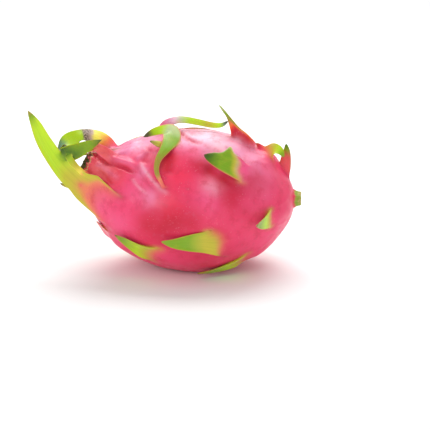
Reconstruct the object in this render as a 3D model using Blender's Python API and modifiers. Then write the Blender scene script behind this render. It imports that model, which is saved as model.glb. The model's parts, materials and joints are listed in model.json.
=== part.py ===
# Dragon fruit lying on its side. Metres, +Z up.
# +X runs to the stem end, -X to the crown end with the dried flower scar, and -Y is the front.
# The origin is the middle of the small flat that the fruit rests on.

import random
from math import atan2, cos, pi, radians, sin, sqrt

import bmesh
import bpy
from mathutils import Vector

mm = 0.001

# driving sizes, in millimetres
restHeight = 45.0       # middle of the body above the table
lookDown = 18.0         # degrees by which the front outlines below are read from above
ringCount = 30          # rings of the body from crown to stem
sideCount = 44          # sides of each ring
mouthT = 0.125          # where the rim of the flower scar is, along the body
mouthDepth = 5.5
mouthLip = 1.1
stemRadius = 4.6
stemLength = 3.2
bractSteps = 9          # strips along each bract
bractAcross = 4         # strips across each bract
rootFlesh = 5.0         # thickness of a bract where it leaves the body
tipFlesh = 1.3
marginShare = 0.5       # thickness of a margin against the middle
spiralCount = 34        # places on the spiral that carries the bracts of the hidden sides
spiralAngle = 137.5
spiralSeed = 21
bodyArc = 215.0         # length of skin from crown to stem
crownEdge = 0.24        # from here a bract runs on freely instead of along the skin

# outline of the body in the XZ plane, from the flower scar over the top and under the
# belly to the stem, and its half depth at the same places
topLine = [(-69.3, 24.6), (-64.4, 31.3), (-47.0, 34.8), (-30.0, 41.0), (-5.0, 46.6),
           (24.0, 43.8), (49.0, 31.5), (63.5, 16.5), (69.5, 1.0)]
bellyLine = [(-69.3, 24.6), (-70.2, 17.6), (-64.5, -4.0), (-52.0, -25.0), (-25.0, -42.5),
             (12.0, -46.5), (43.0, -36.0), (62.5, -17.5), (69.5, 1.0)]
halfDepth = [0.0, 7.6, 20.5, 34.0, 44.5, 44.5, 33.5, 17.5, 0.0]

# bracts of the front, each from its root to its tip: x, height as seen from the front,
# depth y and half width, then the way its face looks at the root and at the tip
frontBracts = {
    "crownBlade": {
        "rows": [(-38, -16, -31.0, 14.0), (-53, -3, -25.5, 13.5), (-65, 6, -15.0, 10.5),
                 (-76.5, 15.5, -10.0, 7.6), (-86.5, 26, -8.0, 5.6), (-95, 38.5, -7.0, 4.8),
                 (-100.5, 49.5, -7.0, 3.3), (-105.3, 58.2, -8.0, 0.5)],
        "face": [(-0.5, -0.85, -0.1), (0.1, -0.95, 0.3)], "cup": (-0.1, 0.4)},
    "crownArch": {
        "rows": [(-44, 27, 2.0, 5.0), (-49.5, 35.5, 3.0, 5.0), (-55, 41.5, 1.0, 4.0),
                 (-62, 43.4, -1.0, 3.4), (-71, 43.4, -3.0, 3.2), (-79, 41, -4.0, 3.0),
                 (-84.5, 35.5, -6.0, 3.2), (-83.5, 29.5, -10.5, 4.0), (-76, 30.5, -13.0, 5.2),
                 (-67, 34.5, -12.5, 3.9), (-57.5, 39.2, -11.5, 0.5)],
        "face": [(0.2, -0.6, 0.8), (0.0, -0.5, 0.85), (-0.6, -0.5, 0.5), (-0.85, -0.5, -0.1),
                 (-0.2, -0.9, -0.35), (0.0, -0.95, -0.2)], "cup": (0.0, 0.15)},
    "hook": {
        "rows": [(-13, 1, -39.5, 0.6), (-18, 10.5, -38.0, 1.1), (-21.3, 18, -33.5, 1.6),
                 (-20.5, 25.5, -28.5, 2.1), (-16.5, 33.0, -22.5, 3.4), (-12.4, 40.5, -14.0, 5.4),
                 (-12.0, 46.5, -8.0, 5.6), (-16.5, 48.0, -6.5, 3.6), (-22.5, 46.0, -8.0, 2.3),
                 (-30, 41.3, -10.5, 0.5)],
        "face": [(0.0, -0.8, 0.6), (0.1, -0.8, 0.6)], "cup": (0.0, 0.1)},
    "hookFlap": {
        "rows": [(-12, 34.0, -15.0, 2.8), (-18.5, 36.3, -16.5, 2.2), (-22, 37.6, -16.0, 1.6),
                 (-26, 38.6, -14.5, 0.5)],
        "face": [(0.0, -0.7, 0.7), (0.0, -0.8, 0.6)], "cup": (0.0, 0.1)},
    "topStrip": {
        "rows": [(-14, 40, 4.0, 4.5), (-14, 48.0, 6.0, 3.8), (-11, 51.6, 6.0, 2.4),
                 (-4, 52.4, 5.0, 2.1), (5.5, 50.8, 4.0, 2.0), (14.5, 48.8, 3.0, 1.9),
                 (20.5, 48.8, 2.0, 1.6), (25, 51.5, 1.0, 0.5)],
        "face": [(0.2, -0.9, 0.3), (0.0, -0.7, 0.7)], "cup": (0.0, 0.2)},
    "spire": {
        "rows": [(37, 33, -4.0, 8.5), (32.8, 39.8, -3.0, 6.6), (29.5, 46, -1.0, 3.6),
                 (25.3, 53.5, 0.0, 1.5), (22, 58, 0.5, 1.0), (18.8, 62, 1.0, 0.5)],
        "face": [(-0.5, -0.8, 0.3), (-0.3, -0.9, 0.2)], "cup": (0.0, 0.25)},
    "frontLens": {
        "rows": [(48, 13, -17.0, 10.0), (39, 18, -24.0, 9.8), (32.5, 21, -28.5, 9.4),
                 (25, 23.5, -31.8, 7.7), (17.5, 25.8, -33.6, 5.2), (12.5, 27.4, -34.5, 2.8),
                 (9.0, 29, -34.5, 0.5)],
        "face": [(0.2, -0.8, 0.6), (-0.2, -0.9, 0.5)], "cup": (-0.12, 0.25)},
    "frontLow": {
        "rows": [(27, -28, -36.0, 10.5), (19, -27.5, -42.5, 9.0), (9, -27.2, -46.0, 7.0),
                 (-1, -27.8, -47.5, 5.2), (-10.5, -28.2, -48.0, 3.0), (-18.5, -27, -47.5, 0.5)],
        "face": [(0.1, -1.0, 0.0), (-0.1, -1.0, 0.2)], "cup": (-0.12, 0.25)},
    "endSliver": {
        "rows": [(52, 24, -3.0, 3.8), (48.5, 31.5, -1.5, 3.0), (45.5, 35.5, 0.0, 1.9),
                 (43, 37.6, 1.0, 0.5)],
        "face": [(-0.3, -0.7, 0.6), (-0.3, -0.7, 0.6)], "cup": (0.0, 0.15)},
    "endCurl": {
        "rows": [(50, 25, -3.0, 5.5), (51.5, 31, -3.0, 5.2), (55.5, 34.5, -4.0, 4.4),
                 (60, 33.6, -6.0, 3.2), (63.5, 29.5, -8.0, 0.6)],
        "face": [(-0.5, -0.7, 0.5), (0.4, -0.7, 0.6)], "cup": (0.0, 0.3)},
    "endTip": {
        "rows": [(60, 13, 2.0, 5.2), (62.0, 24, 4.0, 4.0), (63, 32, 5.5, 2.4),
                 (62.6, 37, 6.0, 0.5)],
        "face": [(-0.2, -0.9, 0.3), (-0.2, -0.9, 0.3)], "cup": (0.0, 0.2)},
}


def spline(points, t):
    # smooth curve through evenly spaced points
    last = len(points) - 1
    f = min(max(t, 0.0), 1.0) * last
    i = min(int(f), last - 1)
    u = f - i
    b = points[i]
    c = points[i + 1]
    a = points[i - 1] if i > 0 else [2 * p - q for p, q in zip(b, c)]
    d = points[i + 2] if i + 2 <= last else [2 * q - p for p, q in zip(b, c)]
    out = []
    for p, q, r, s in zip(a, b, c, d):
        cubic = 2 * q + (r - p) * u + (2 * p - 5 * q + 4 * r - s) * u * u
        out.append(0.5 * (cubic + (3 * q - p - 3 * r + s) * u ** 3))
    return out


def skin(t, turn):
    # point of the body's skin: t runs from crown to stem, turn is 0 at the top and grows
    # towards the front
    top = spline(topLine, t)
    low = spline(bellyLine, t)
    deep = spline([(w,) for w in halfDepth], t)[0]
    fold = 0.016 * cos(3 * turn + 0.6) + 0.010 * cos(5 * turn + 9 * t)
    swell = 1.0 + fold * 16 * t * t * (1 - t) * (1 - t)
    rise = cos(turn) * swell
    x = (top[0] + low[0]) / 2 + (top[0] - low[0]) / 2 * rise
    z = (top[1] + low[1]) / 2 + (top[1] - low[1]) / 2 * rise
    return Vector((x, -deep * sin(turn) * swell, z + restHeight))


def skinNormal(t, turn):
    step = 0.004
    along = skin(t + step, turn) - skin(t - step, turn)
    around = skin(t, turn + step) - skin(t, turn - step)
    return around.cross(along).normalized()


def fromFront(x, seen, y):
    # the point at depth y that shows at this height from the front
    lean = radians(lookDown)
    return Vector((x, y, (seen - y * sin(lean)) / cos(lean) + restHeight))


def makeBody():
    bm = bmesh.new()
    bmesh.ops.create_uvsphere(bm, u_segments=sideCount, v_segments=ringCount, radius=1.0)
    mouthAxis = Vector((-0.92, 0.0, 0.39))
    for v in bm.verts:
        t = atan2(sqrt(v.co.x ** 2 + v.co.y ** 2), v.co.z) / pi
        turn = atan2(v.co.y, v.co.x)
        p = skin(t, turn)
        if t < mouthT:
            p -= mouthAxis * (mouthDepth * (1.0 - (t / mouthT) ** 2))
        near = (t - mouthT) / 0.05
        p += mouthAxis * (mouthLip * max(0.0, 1.0 - near * near))
        v.co = p * mm
    bmesh.ops.recalc_face_normals(bm, faces=bm.faces)
    mesh = bpy.data.meshes.new("dragon_fruit")
    bm.to_mesh(mesh)
    bm.free()
    return bpy.data.objects.new("dragon_fruit", mesh)


def makeStem():
    # cut end of the stem, sunk into the body
    bm = bmesh.new()
    bmesh.ops.create_cone(bm, cap_ends=True, segments=14, radius1=stemRadius * 1.25 * mm,
                          radius2=stemRadius * mm, depth=(stemLength + 6.0) * mm)
    mesh = bpy.data.meshes.new("stemStub")
    bm.to_mesh(mesh)
    bm.free()
    stub = bpy.data.objects.new("stemStub", mesh)
    stub.rotation_euler = (0.0, radians(90), 0.0)
    stub.location = Vector((69.5 + (stemLength - 6.0) / 2, 0.0, restHeight + 1.0)) * mm
    return stub


def makeBract(name, rows, faces, cup, flesh=1.0):
    # a grid bent to the bract's form; Solidify adds the flesh, thinner at margins and tip
    bm = bmesh.new()
    bmesh.ops.create_grid(bm, x_segments=bractAcross, y_segments=bractSteps, size=1.0)
    share = bm.verts.layers.deform.verify()
    for v in bm.verts:
        u = (v.co.y + 1.0) / 2.0
        side = v.co.x
        row = spline(rows, u)
        ahead = Vector(spline(rows, min(1.0, u + 0.03))[:3])
        behind = Vector(spline(rows, max(0.0, u - 0.03))[:3])
        tangent = (ahead - behind).normalized()
        face = Vector(spline(faces, u))
        face = (face - tangent * face.dot(tangent)).normalized()
        across = tangent.cross(face)
        half = max(row[3], 0.4)
        bend = cup[0] + (cup[1] - cup[0]) * min(1.0, 2.0 * u)
        p = Vector(row[:3]) + across * (half * side) + face * (bend * half * side * side)
        v.co = p * mm
        thick = (rootFlesh + (tipFlesh - rootFlesh) * min(1.0, u * 1.25) ** 0.7) * flesh
        thick = min(thick, 0.9 * half + 0.8)
        thick *= 1.0 - (1.0 - marginShare) * abs(side) ** 1.5
        v[share][0] = max(thick, 0.7) / 10.0
    mesh = bpy.data.meshes.new(name)
    bm.to_mesh(mesh)
    bm.free()
    bract = bpy.data.objects.new(name, mesh)
    bract.vertex_groups.new(name="flesh")
    solid = bract.modifiers.new("flesh", "SOLIDIFY")
    solid.thickness = 10.0 * mm
    solid.offset = 0.0
    solid.vertex_group = "flesh"
    solid.thickness_vertex_group = 0.0
    return bract


def frontRows(rows):
    return [(*fromFront(x, seen, y), half) for x, seen, y, half in rows]


def spiralRows(t, turn, length, half, lift, drift, droop):
    # a bract that leaves the skin towards the crown and curls away from it
    rows = []
    faces = []
    for i in range(7):
        u = i / 6
        at = t - u * length / bodyArc
        past = max(0.0, crownEdge - at) * bodyArc
        at = max(at, crownEdge)
        around = turn + drift * u * u
        out = skinNormal(at, around)
        ahead = (skin(at - 0.01, around) - skin(at + 0.01, around)).normalized()
        p = skin(at, around) + out * (-3.4 + 5.0 * u + lift * u ** 2.6) + ahead * past * 0.8
        p.z -= droop * u * u
        rows.append((*p, half * (1.0 - u) ** 0.8 * (1.0 + 0.45 * u) + 0.4))
        faces.append(out)
    return rows, faces


def onHiddenSide(t, turn):
    # degrees, 0 at the top and 90 at the front
    back = -160 < turn < -62 and 0.26 < t < 0.88
    upperBack = -62 <= turn < -16 and 0.30 < t < 0.80
    stemFront = 40 < turn < 150 and t > 0.80
    lowFront = 124 < turn < 156 and 0.34 < t < 0.80
    return back or upperBack or stemFront or lowFront


def makeSpiral():
    rng = random.Random(spiralSeed)
    bracts = []
    for i in range(spiralCount):
        t = 0.90 - 0.60 * (i + 0.5) / spiralCount
        turn = (40.0 + spiralAngle * i + 180.0) % 360.0 - 180.0
        length = 36.0 + 24.0 * (1.0 - t) + rng.uniform(-6.0, 6.0)
        half = 10.6 + rng.uniform(-1.4, 1.6)
        lift = rng.uniform(7.0, 15.0)
        drift = radians(rng.uniform(-9.0, 9.0))
        droop = 0.0
        if not onHiddenSide(t, turn):
            continue
        if -62 <= turn < -16:
            lift = 0.5      # lies close to the skin behind the top
        if turn > 120 or turn < -135:
            lift = 2.5
        if t > 0.8:
            length *= 0.72
            half *= 0.85
        if t < 0.42 and -135 < turn < -62:
            lift += 8.0     # the crown's bracts stand open
            droop = 7.0
        rows, faces = spiralRows(t, radians(turn), length, half, lift, drift, droop)
        bracts.append(makeBract("bract%02d" % i, rows, faces, (-0.2, 0.2)))
    return bracts


def restFlat(obj):
    # the flat that the fruit rests on, at z = 0
    bm = bmesh.new()
    bm.from_mesh(obj.data)
    geom = bm.verts[:] + bm.edges[:] + bm.faces[:]
    bmesh.ops.bisect_plane(bm, geom=geom, dist=1e-6, plane_co=(0, 0, 0),
                           plane_no=(0, 0, -1), clear_outer=True)
    rim = [e for e in bm.edges if e.is_boundary]
    bmesh.ops.holes_fill(bm, edges=rim, sides=0)
    bm.to_mesh(obj.data)
    bm.free()


for old in list(bpy.data.objects):
    bpy.data.objects.remove(old, do_unlink=True)

fruit = bpy.data.collections.new("dragon_fruit")
growth = bpy.data.collections.new("growth")
bpy.context.scene.collection.children.link(fruit)
bpy.context.scene.collection.children.link(growth)

body = makeBody()
fruit.objects.link(body)
growth.objects.link(makeStem())
for name, spec in frontBracts.items():
    growth.objects.link(makeBract(name, frontRows(spec["rows"]), spec["face"], spec["cup"]))
for bract in makeSpiral():
    growth.objects.link(bract)

join = body.modifiers.new("join", "BOOLEAN")
join.operation = "UNION"
join.operand_type = "COLLECTION"
join.collection = growth
join.solver = "EXACT"
join.use_self = True
bpy.context.view_layer.update()
graph = bpy.context.evaluated_depsgraph_get()
joined = bpy.data.meshes.new_from_object(body.evaluated_get(graph))
body.modifiers.clear()
body.data = joined
for extra in list(growth.objects):
    bpy.data.objects.remove(extra, do_unlink=True)
bpy.data.collections.remove(growth)
restFlat(body)

rind = bpy.data.materials.new("rind")
rind.use_nodes = True
shader = rind.node_tree.nodes["Principled BSDF"]
shader.inputs["Base Color"].default_value = (0.80, 0.09, 0.16, 1.0)
shader.inputs["Roughness"].default_value = 0.42
shader.inputs["Metallic"].default_value = 0.0
body.data.materials.clear()
body.data.materials.append(rind)
body.data.shade_smooth()
body.data.set_sharp_from_angle(angle=radians(50))
print("dragon fruit:", len(body.data.polygons), "faces")
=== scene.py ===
import json
import random
from math import cos, exp, pi, radians, sin

import bmesh
import bpy
import numpy as np
from mathutils import Matrix, Vector
from mathutils.kdtree import KDTree

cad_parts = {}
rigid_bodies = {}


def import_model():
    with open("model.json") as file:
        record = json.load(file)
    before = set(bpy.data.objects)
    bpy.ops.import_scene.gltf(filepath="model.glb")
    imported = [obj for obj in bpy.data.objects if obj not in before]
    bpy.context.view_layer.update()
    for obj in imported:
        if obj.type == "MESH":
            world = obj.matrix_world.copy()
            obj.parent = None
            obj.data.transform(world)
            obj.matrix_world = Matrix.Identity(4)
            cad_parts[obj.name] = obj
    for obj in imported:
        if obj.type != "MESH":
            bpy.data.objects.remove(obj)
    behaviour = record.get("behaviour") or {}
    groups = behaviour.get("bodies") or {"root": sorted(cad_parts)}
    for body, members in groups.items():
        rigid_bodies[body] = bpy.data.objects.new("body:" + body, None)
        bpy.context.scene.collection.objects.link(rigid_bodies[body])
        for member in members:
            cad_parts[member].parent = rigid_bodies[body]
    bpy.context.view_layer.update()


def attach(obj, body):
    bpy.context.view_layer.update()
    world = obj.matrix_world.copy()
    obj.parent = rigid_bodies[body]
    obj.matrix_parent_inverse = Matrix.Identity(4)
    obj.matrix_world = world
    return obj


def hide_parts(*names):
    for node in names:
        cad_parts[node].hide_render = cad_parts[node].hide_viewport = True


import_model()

mm = 0.001
print("frame loaded")

# colours by name, as seen on a screen
palette = {
    "pinkRed": (0.91, 0.20, 0.36), "vividRed": (0.95, 0.20, 0.34), "crimson": (0.78, 0.05, 0.19),
    "deepCrimson": (0.58, 0.02, 0.12), "hotPink": (0.95, 0.34, 0.54),
    "lilacPink": (0.90, 0.58, 0.74), "palePink": (0.96, 0.80, 0.87), "coral": (0.90, 0.38, 0.38),
    "salmon": (0.93, 0.52, 0.38), "orange": (0.95, 0.52, 0.24), "flame": (0.94, 0.30, 0.18),
    "yellow": (0.96, 0.90, 0.34), "yellowGreen": (0.78, 0.73, 0.22), "lime": (0.74, 0.89, 0.14),
    "sap": (0.65, 0.78, 0.0), "leafGreen": (0.50, 0.66, 0.10), "deepGreen": (0.28, 0.44, 0.04),
    "forest": (0.20, 0.34, 0.03), "blueGreen": (0.36, 0.50, 0.42), "olive": (0.62, 0.58, 0.22),
    "paleGreen": (0.78, 0.84, 0.62), "tipBrown": (0.32, 0.28, 0.18),
    "dryGrey": (0.50, 0.45, 0.38), "beige": (0.82, 0.70, 0.48), "bark": (0.30, 0.24, 0.13),
    "dryOlive": (0.48, 0.46, 0.24), "dryPink": (0.72, 0.60, 0.56), "brick": (0.82, 0.18, 0.18),
    "rust": (0.60, 0.28, 0.22),
}


def paint(name):
    # a palette colour in linear light
    return np.array([c / 12.92 if c <= 0.04045 else ((c + 0.055) / 1.055) ** 2.4
                     for c in palette[name]])


def opaque(name):
    # the same for a node's colour socket
    return (*paint(name), 1.0)


# the body: its outline in the XZ plane over the top and under the belly, from the flower
# scar to the stem, and its half depth at the same places, in millimetres
body = {
    "restHeight": 45.0, "lookDown": 18.0, "rings": 190, "sides": 256,
    "topLine": [(-69.3, 24.6), (-64.4, 31.3), (-47.0, 34.8), (-30.0, 41.0), (-5.0, 46.6),
                (24.0, 43.8), (49.0, 31.5), (63.5, 16.5), (69.5, 1.0)],
    "bellyLine": [(-69.3, 24.6), (-70.2, 17.6), (-64.5, -4.0), (-52.0, -25.0), (-25.0, -42.5),
                  (12.0, -46.5), (43.0, -36.0), (62.5, -17.5), (69.5, 1.0)],
    "halfDepth": [0.0, 7.6, 20.5, 34.0, 44.5, 44.5, 33.5, 17.5, 0.0],
    "mouthT": 0.125, "mouthDepth": 5.5, "mouthLip": 1.1, "lipWidth": 0.05,
    "mouthAxis": (-0.92, 0.0, 0.39),
}

# a bract's flesh, in millimetres, and how finely its surface is divided
bract = {
    "stepsRound": 34, "stepsPerMm": 0.85, "stepsLeast": 26, "stepsMost": 62, "pathSteps": 400,
    "rootFlesh": 5.0, "tipFlesh": 1.1, "tipShare": 0.035, "marginShare": 0.42, "waver": 0.4,
    "narrowest": 0.4,
}

# the bracts of the front, from root to tip; a row is x, height as seen from the front, depth y
# and half width. face: the ways the blade looks; cup: at root and tip; slant: how far the
# colours run back along its two margins, fading between slantEnds; lobes: margin, u, spread and
# added width; otherMargin: the first margin's colour; innerPale: how pale the inner face is;
# rise: where the colours begin; bleed: how much they run into the skin; deadBand: dead bark
frontBracts = {
    "crownBlade": {
        "rows": [(-38, -16, -31.0, 14.0), (-53, -3, -25.5, 13.0), (-65, 6, -15.0, 10.3),
                 (-76.3, 15.5, -10.0, 7.9), (-86.3, 26, -8.0, 6.0), (-94.8, 38.5, -7.0, 5.0),
                 (-100.3, 49.5, -7.0, 3.4), (-105.2, 58.2, -8.0, 0.5)],
        "face": [(-0.5, -0.85, -0.1), (0.1, -0.95, 0.3)], "cup": (-0.1, 0.4),
        "colours": [(0.0, "hotPink"), (0.16, "hotPink"), (0.24, "coral"), (0.31, "salmon"),
                    (0.37, "yellowGreen"), (0.46, "yellowGreen"), (0.58, "lime"), (0.85, "lime"),
                    (0.95, "leafGreen"), (1.0, "olive")],
        "slant": (0.16, 0.14), "margin": "yellowGreen",
        "lobes": [(1, 0.27, 0.07, 2.4), (1, 0.12, 0.06, -2.0)]},
    # crownArch: its blue-green and forest-green stops, where the blade folds back, are partly
    # painted shade in the fold
    "crownArch": {
        "rows": [(-48, 25.0, 2.5, 6.5), (-52.4, 32.4, 2.0, 7.2), (-57.4, 38.2, 0.5, 6.6),
                 (-63.4, 41.2, -1.0, 5.4), (-71, 42.1, -3.0, 4.6), (-77.4, 38.6, -4.0, 7.2),
                 (-83.0, 34.6, -6.5, 5.8), (-83.0, 29.8, -11.0, 5.4), (-75.5, 31.6, -13.0, 6.2),
                 (-66.5, 35.2, -12.5, 4.2), (-57.0, 39.2, -11.5, 0.5)],
        "face": [(0.2, -0.6, 0.8), (0.0, -0.6, 0.8), (-0.6, -0.5, 0.5), (-0.85, -0.5, -0.1),
                 (-0.2, -0.9, -0.35), (0.0, -0.95, -0.2)], "cup": (0.0, 0.15),
        "colours": [(0.0, "flame"), (0.14, "flame"), (0.20, "orange"), (0.245, "yellow"),
                    (0.300, "yellow"), (0.318, "dryPink"), (0.345, "dryPink"), (0.355, "dryGrey"),
                    (0.392, "bark"), (0.396, "sap"), (0.53, "sap"), (0.575, "blueGreen"),
                    (0.60, "blueGreen"), (0.63, "forest"), (0.71, "forest"), (0.78, "deepGreen"),
                    (0.86, "leafGreen"), (0.94, "leafGreen"), (1.0, "tipBrown")],
        "slant": (0.07, -0.10), "slantEnds": (0.20, 0.30), "margin": "sap", "lobes": [],
        "innerPale": 0.0, "deadBand": (0.335, 0.392)},
    "crownTooth": {
        "rows": [(-70.0, 10.2, -12.5, 2.4), (-76.5, 9.0, -10.5, 2.0), (-81.2, 9.5, -9.0, 1.3),
                 (-84.8, 10.9, -8.0, 0.4)],
        "face": [(0.1, -0.9, 0.2), (0.1, -0.9, 0.2)], "cup": (0.0, 0.1),
        "colours": [(0.0, "yellowGreen"), (0.6, "yellowGreen"), (0.8, "olive"), (1.0, "tipBrown")],
        "slant": (0.0, 0.0), "margin": "olive", "lobes": []},
    "neckFold": {
        "rows": [(-48, 25.0, -10.0, 4.5), (-53.5, 29.6, -9.0, 4.0), (-58.5, 32.9, -8.5, 3.2),
                 (-62.0, 35.2, -8.0, 2.2), (-65.0, 36.2, -8.0, 0.8)],
        "face": [(0.0, -0.8, 0.5), (0.0, -0.9, 0.3)], "cup": (0.0, 0.1),
        "colours": [(0.0, "coral"), (0.5, "coral"), (0.75, "salmon"), (1.0, "rust")],
        "slant": (0.0, 0.0), "margin": "hotPink", "lobes": []},
    "crownStrand": {
        "rows": [(-63.8, 14.4, -9.5, 2.3), (-68.8, 17.2, -12.5, 2.0), (-73.2, 20.8, -13.5, 2.0),
                 (-77.0, 25.2, -13.5, 2.2), (-80.0, 30.0, -13.0, 2.0)],
        "face": [(0.1, -0.9, 0.2), (0.3, -0.9, 0.1)], "cup": (0.0, 0.1),
        "colours": [(0.0, "coral"), (0.22, "salmon"), (0.40, "yellow"), (0.6, "yellowGreen"),
                    (0.85, "sap"), (1.0, "deepGreen")],
        "slant": (0.0, 0.0), "margin": "yellow", "lobes": [], "bleed": 0.2},
    # hook: its pale green stops on the top of the bend are a painted highlight
    "hook": {
        "rows": [(-13, 1, -39.5, 0.6), (-18, 10.5, -38.0, 1.1), (-21.3, 18, -33.5, 1.6),
                 (-20.5, 25.5, -28.5, 2.1), (-16.2, 32.4, -22.5, 3.4), (-12.2, 39.0, -14.0, 5.7),
                 (-12.4, 44.2, -8.0, 5.7), (-17.2, 45.5, -6.5, 3.4), (-23.4, 44.1, -8.0, 2.5),
                 (-30.3, 40.8, -10.5, 0.8)],
        "face": [(0.0, -0.8, 0.6), (0.1, -0.8, 0.6)], "cup": (0.0, 0.1),
        "colours": [(0.0, "pinkRed"), (0.07, "coral"), (0.15, "salmon"), (0.22, "olive"),
                    (0.33, "olive"), (0.44, "leafGreen"), (0.58, "leafGreen"), (0.67, "paleGreen"),
                    (0.73, "paleGreen"), (0.81, "lime"), (0.90, "sap"), (0.955, "tipBrown"),
                    (1.0, "tipBrown")],
        "slant": (0.0, 0.0), "margin": "salmon", "lobes": [], "rise": (0.0, 0.05), "bleed": 0.2},
    "hookFlap": {
        "rows": [(-12, 34.0, -15.0, 2.8), (-18.5, 35.6, -16.5, 2.4), (-22, 36.8, -16.0, 1.8),
                 (-26, 38.2, -14.5, 0.5)],
        "face": [(0.0, -0.7, 0.7), (0.0, -0.8, 0.6)], "cup": (0.0, 0.1),
        "colours": [(0.0, "orange"), (0.25, "salmon"), (0.45, "yellowGreen"), (0.85, "olive"),
                    (1.0, "tipBrown")],
        "slant": (0.0, 0.0), "margin": "bark", "lobes": []},
    "topStrip": {
        "rows": [(-17, 40, 4.0, 4.5), (-16.8, 47.0, 6.0, 3.9), (-13.2, 50.9, 6.0, 2.7),
                 (-5.5, 52.4, 5.0, 2.3), (4.5, 50.8, 4.0, 2.2), (14.0, 48.8, 3.0, 2.1),
                 (20.5, 48.8, 2.0, 1.7), (25, 51.5, 1.0, 0.5)],
        "face": [(0.2, -0.9, 0.3), (0.0, -0.7, 0.7)], "cup": (0.0, 0.2),
        "colours": [(0.0, "pinkRed"), (0.18, "hotPink"), (0.28, "lilacPink"), (0.36, "palePink"),
                    (0.44, "paleGreen"), (0.52, "lime"), (0.70, "yellowGreen"), (0.84, "lime"),
                    (0.91, "blueGreen"), (0.96, "tipBrown"), (1.0, "tipBrown")],
        "slant": (0.0, 0.0), "margin": "paleGreen", "otherMargin": "olive", "lobes": []},
    "spire": {
        "rows": [(37, 33, -4.0, 8.5), (32.8, 39.8, -3.0, 6.6), (29.5, 46, -1.0, 3.4),
                 (25.3, 53.5, 0.0, 1.3), (22, 58, 0.5, 0.9), (18.8, 62, 1.0, 0.5)],
        "face": [(-0.5, -0.8, 0.3), (-0.3, -0.9, 0.2)], "cup": (0.0, 0.25),
        "colours": [(0.0, "crimson"), (0.30, "crimson"), (0.39, "crimson"), (0.46, "flame"),
                    (0.50, "orange"), (0.54, "olive"), (0.72, "leafGreen"), (1.0, "paleGreen")],
        "slant": (0.30, 0.0), "margin": "orange", "lobes": [], "rise": (0.0, 0.06), "bleed": 0.4},
    # frontLens: its pale green upper margin (otherMargin) is a painted highlight
    "frontLens": {
        "rows": [(48, 13, -17.0, 10.0), (39, 17.6, -24.0, 9.8), (32.5, 20.6, -28.5, 9.2),
                 (25, 23.1, -31.8, 7.7), (17.5, 25.6, -33.6, 5.4), (12.5, 27.4, -34.5, 3.0),
                 (9.0, 29, -34.5, 0.5)],
        "face": [(0.2, -0.8, 0.6), (-0.2, -0.9, 0.5)], "cup": (-0.12, 0.25),
        "colours": [(0.0, "hotPink"), (0.33, "hotPink"), (0.385, "beige"), (0.425, "yellowGreen"),
                    (0.49, "leafGreen"), (0.62, "leafGreen"), (0.80, "deepGreen"), (0.93, "forest"),
                    (1.0, "tipBrown")],
        "slant": (-0.12, 0.12), "bleed": 0.3, "margin": "salmon", "otherMargin": "paleGreen",
        "lobes": [(1, 0.54, 0.05, 4.0), (1, 0.68, 0.06, -0.5), (1, 0.22, 0.17, -6.0)]},
    "frontLow": {
        "rows": [(27, -28, -36.0, 10.5), (19, -27.5, -42.5, 9.0), (9, -27.2, -46.0, 7.0),
                 (-1, -27.8, -47.5, 5.2), (-10.5, -28.2, -48.0, 3.0), (-18.5, -27, -47.5, 0.5)],
        "face": [(0.1, -1.0, 0.0), (-0.1, -1.0, 0.2)], "cup": (-0.12, 0.25),
        "colours": [(0.0, "crimson"), (0.18, "coral"), (0.27, "yellowGreen"), (0.40, "yellowGreen"),
                    (0.6, "leafGreen"), (0.9, "leafGreen"), (1.0, "olive")],
        "slant": (0.10, 0.10), "bleed": 0.45, "margin": "yellowGreen",
        "lobes": [(1, 0.26, 0.07, 2.6)]},
    "endSliver": {
        "rows": [(52, 24, -3.0, 3.8), (48.5, 31.2, -1.5, 3.0), (45.5, 35.0, 0.0, 1.9),
                 (43, 37.2, 1.0, 0.5)],
        "face": [(-0.3, -0.7, 0.6), (-0.3, -0.7, 0.6)], "cup": (0.0, 0.15),
        "colours": [(0.0, "hotPink"), (0.6, "pinkRed"), (0.85, "crimson"), (1.0, "olive")],
        "slant": (0.0, 0.0), "margin": "hotPink", "lobes": []},
    "endCurl": {
        "rows": [(50, 24.5, -3.0, 5.5), (50.8, 29.6, -3.0, 5.2), (54.2, 32.6, -4.0, 4.4),
                 (58.2, 31.8, -6.0, 3.0), (61.2, 27.8, -8.0, 0.6)],
        "face": [(-0.5, -0.7, 0.5), (0.4, -0.7, 0.6)], "cup": (0.0, 0.3),
        "colours": [(0.0, "crimson"), (0.2, "vividRed"), (0.36, "orange"), (0.5, "yellowGreen"),
                    (0.7, "lime"), (0.9, "leafGreen"), (1.0, "olive")],
        "slant": (0.1, 0.0), "margin": "yellowGreen", "lobes": []},
    "endTip": {
        "rows": [(60, 13, 2.0, 5.2), (62.2, 24, 4.0, 4.0), (63.2, 32, 5.5, 2.4),
                 (62.8, 37, 6.0, 0.5)],
        "face": [(-0.2, -0.9, 0.3), (-0.2, -0.9, 0.3)], "cup": (0.0, 0.2),
        "colours": [(0.0, "pinkRed"), (0.5, "coral"), (0.72, "leafGreen"), (1.0, "deepGreen")],
        "slant": (0.0, 0.0), "margin": "olive", "lobes": []},
}

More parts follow.
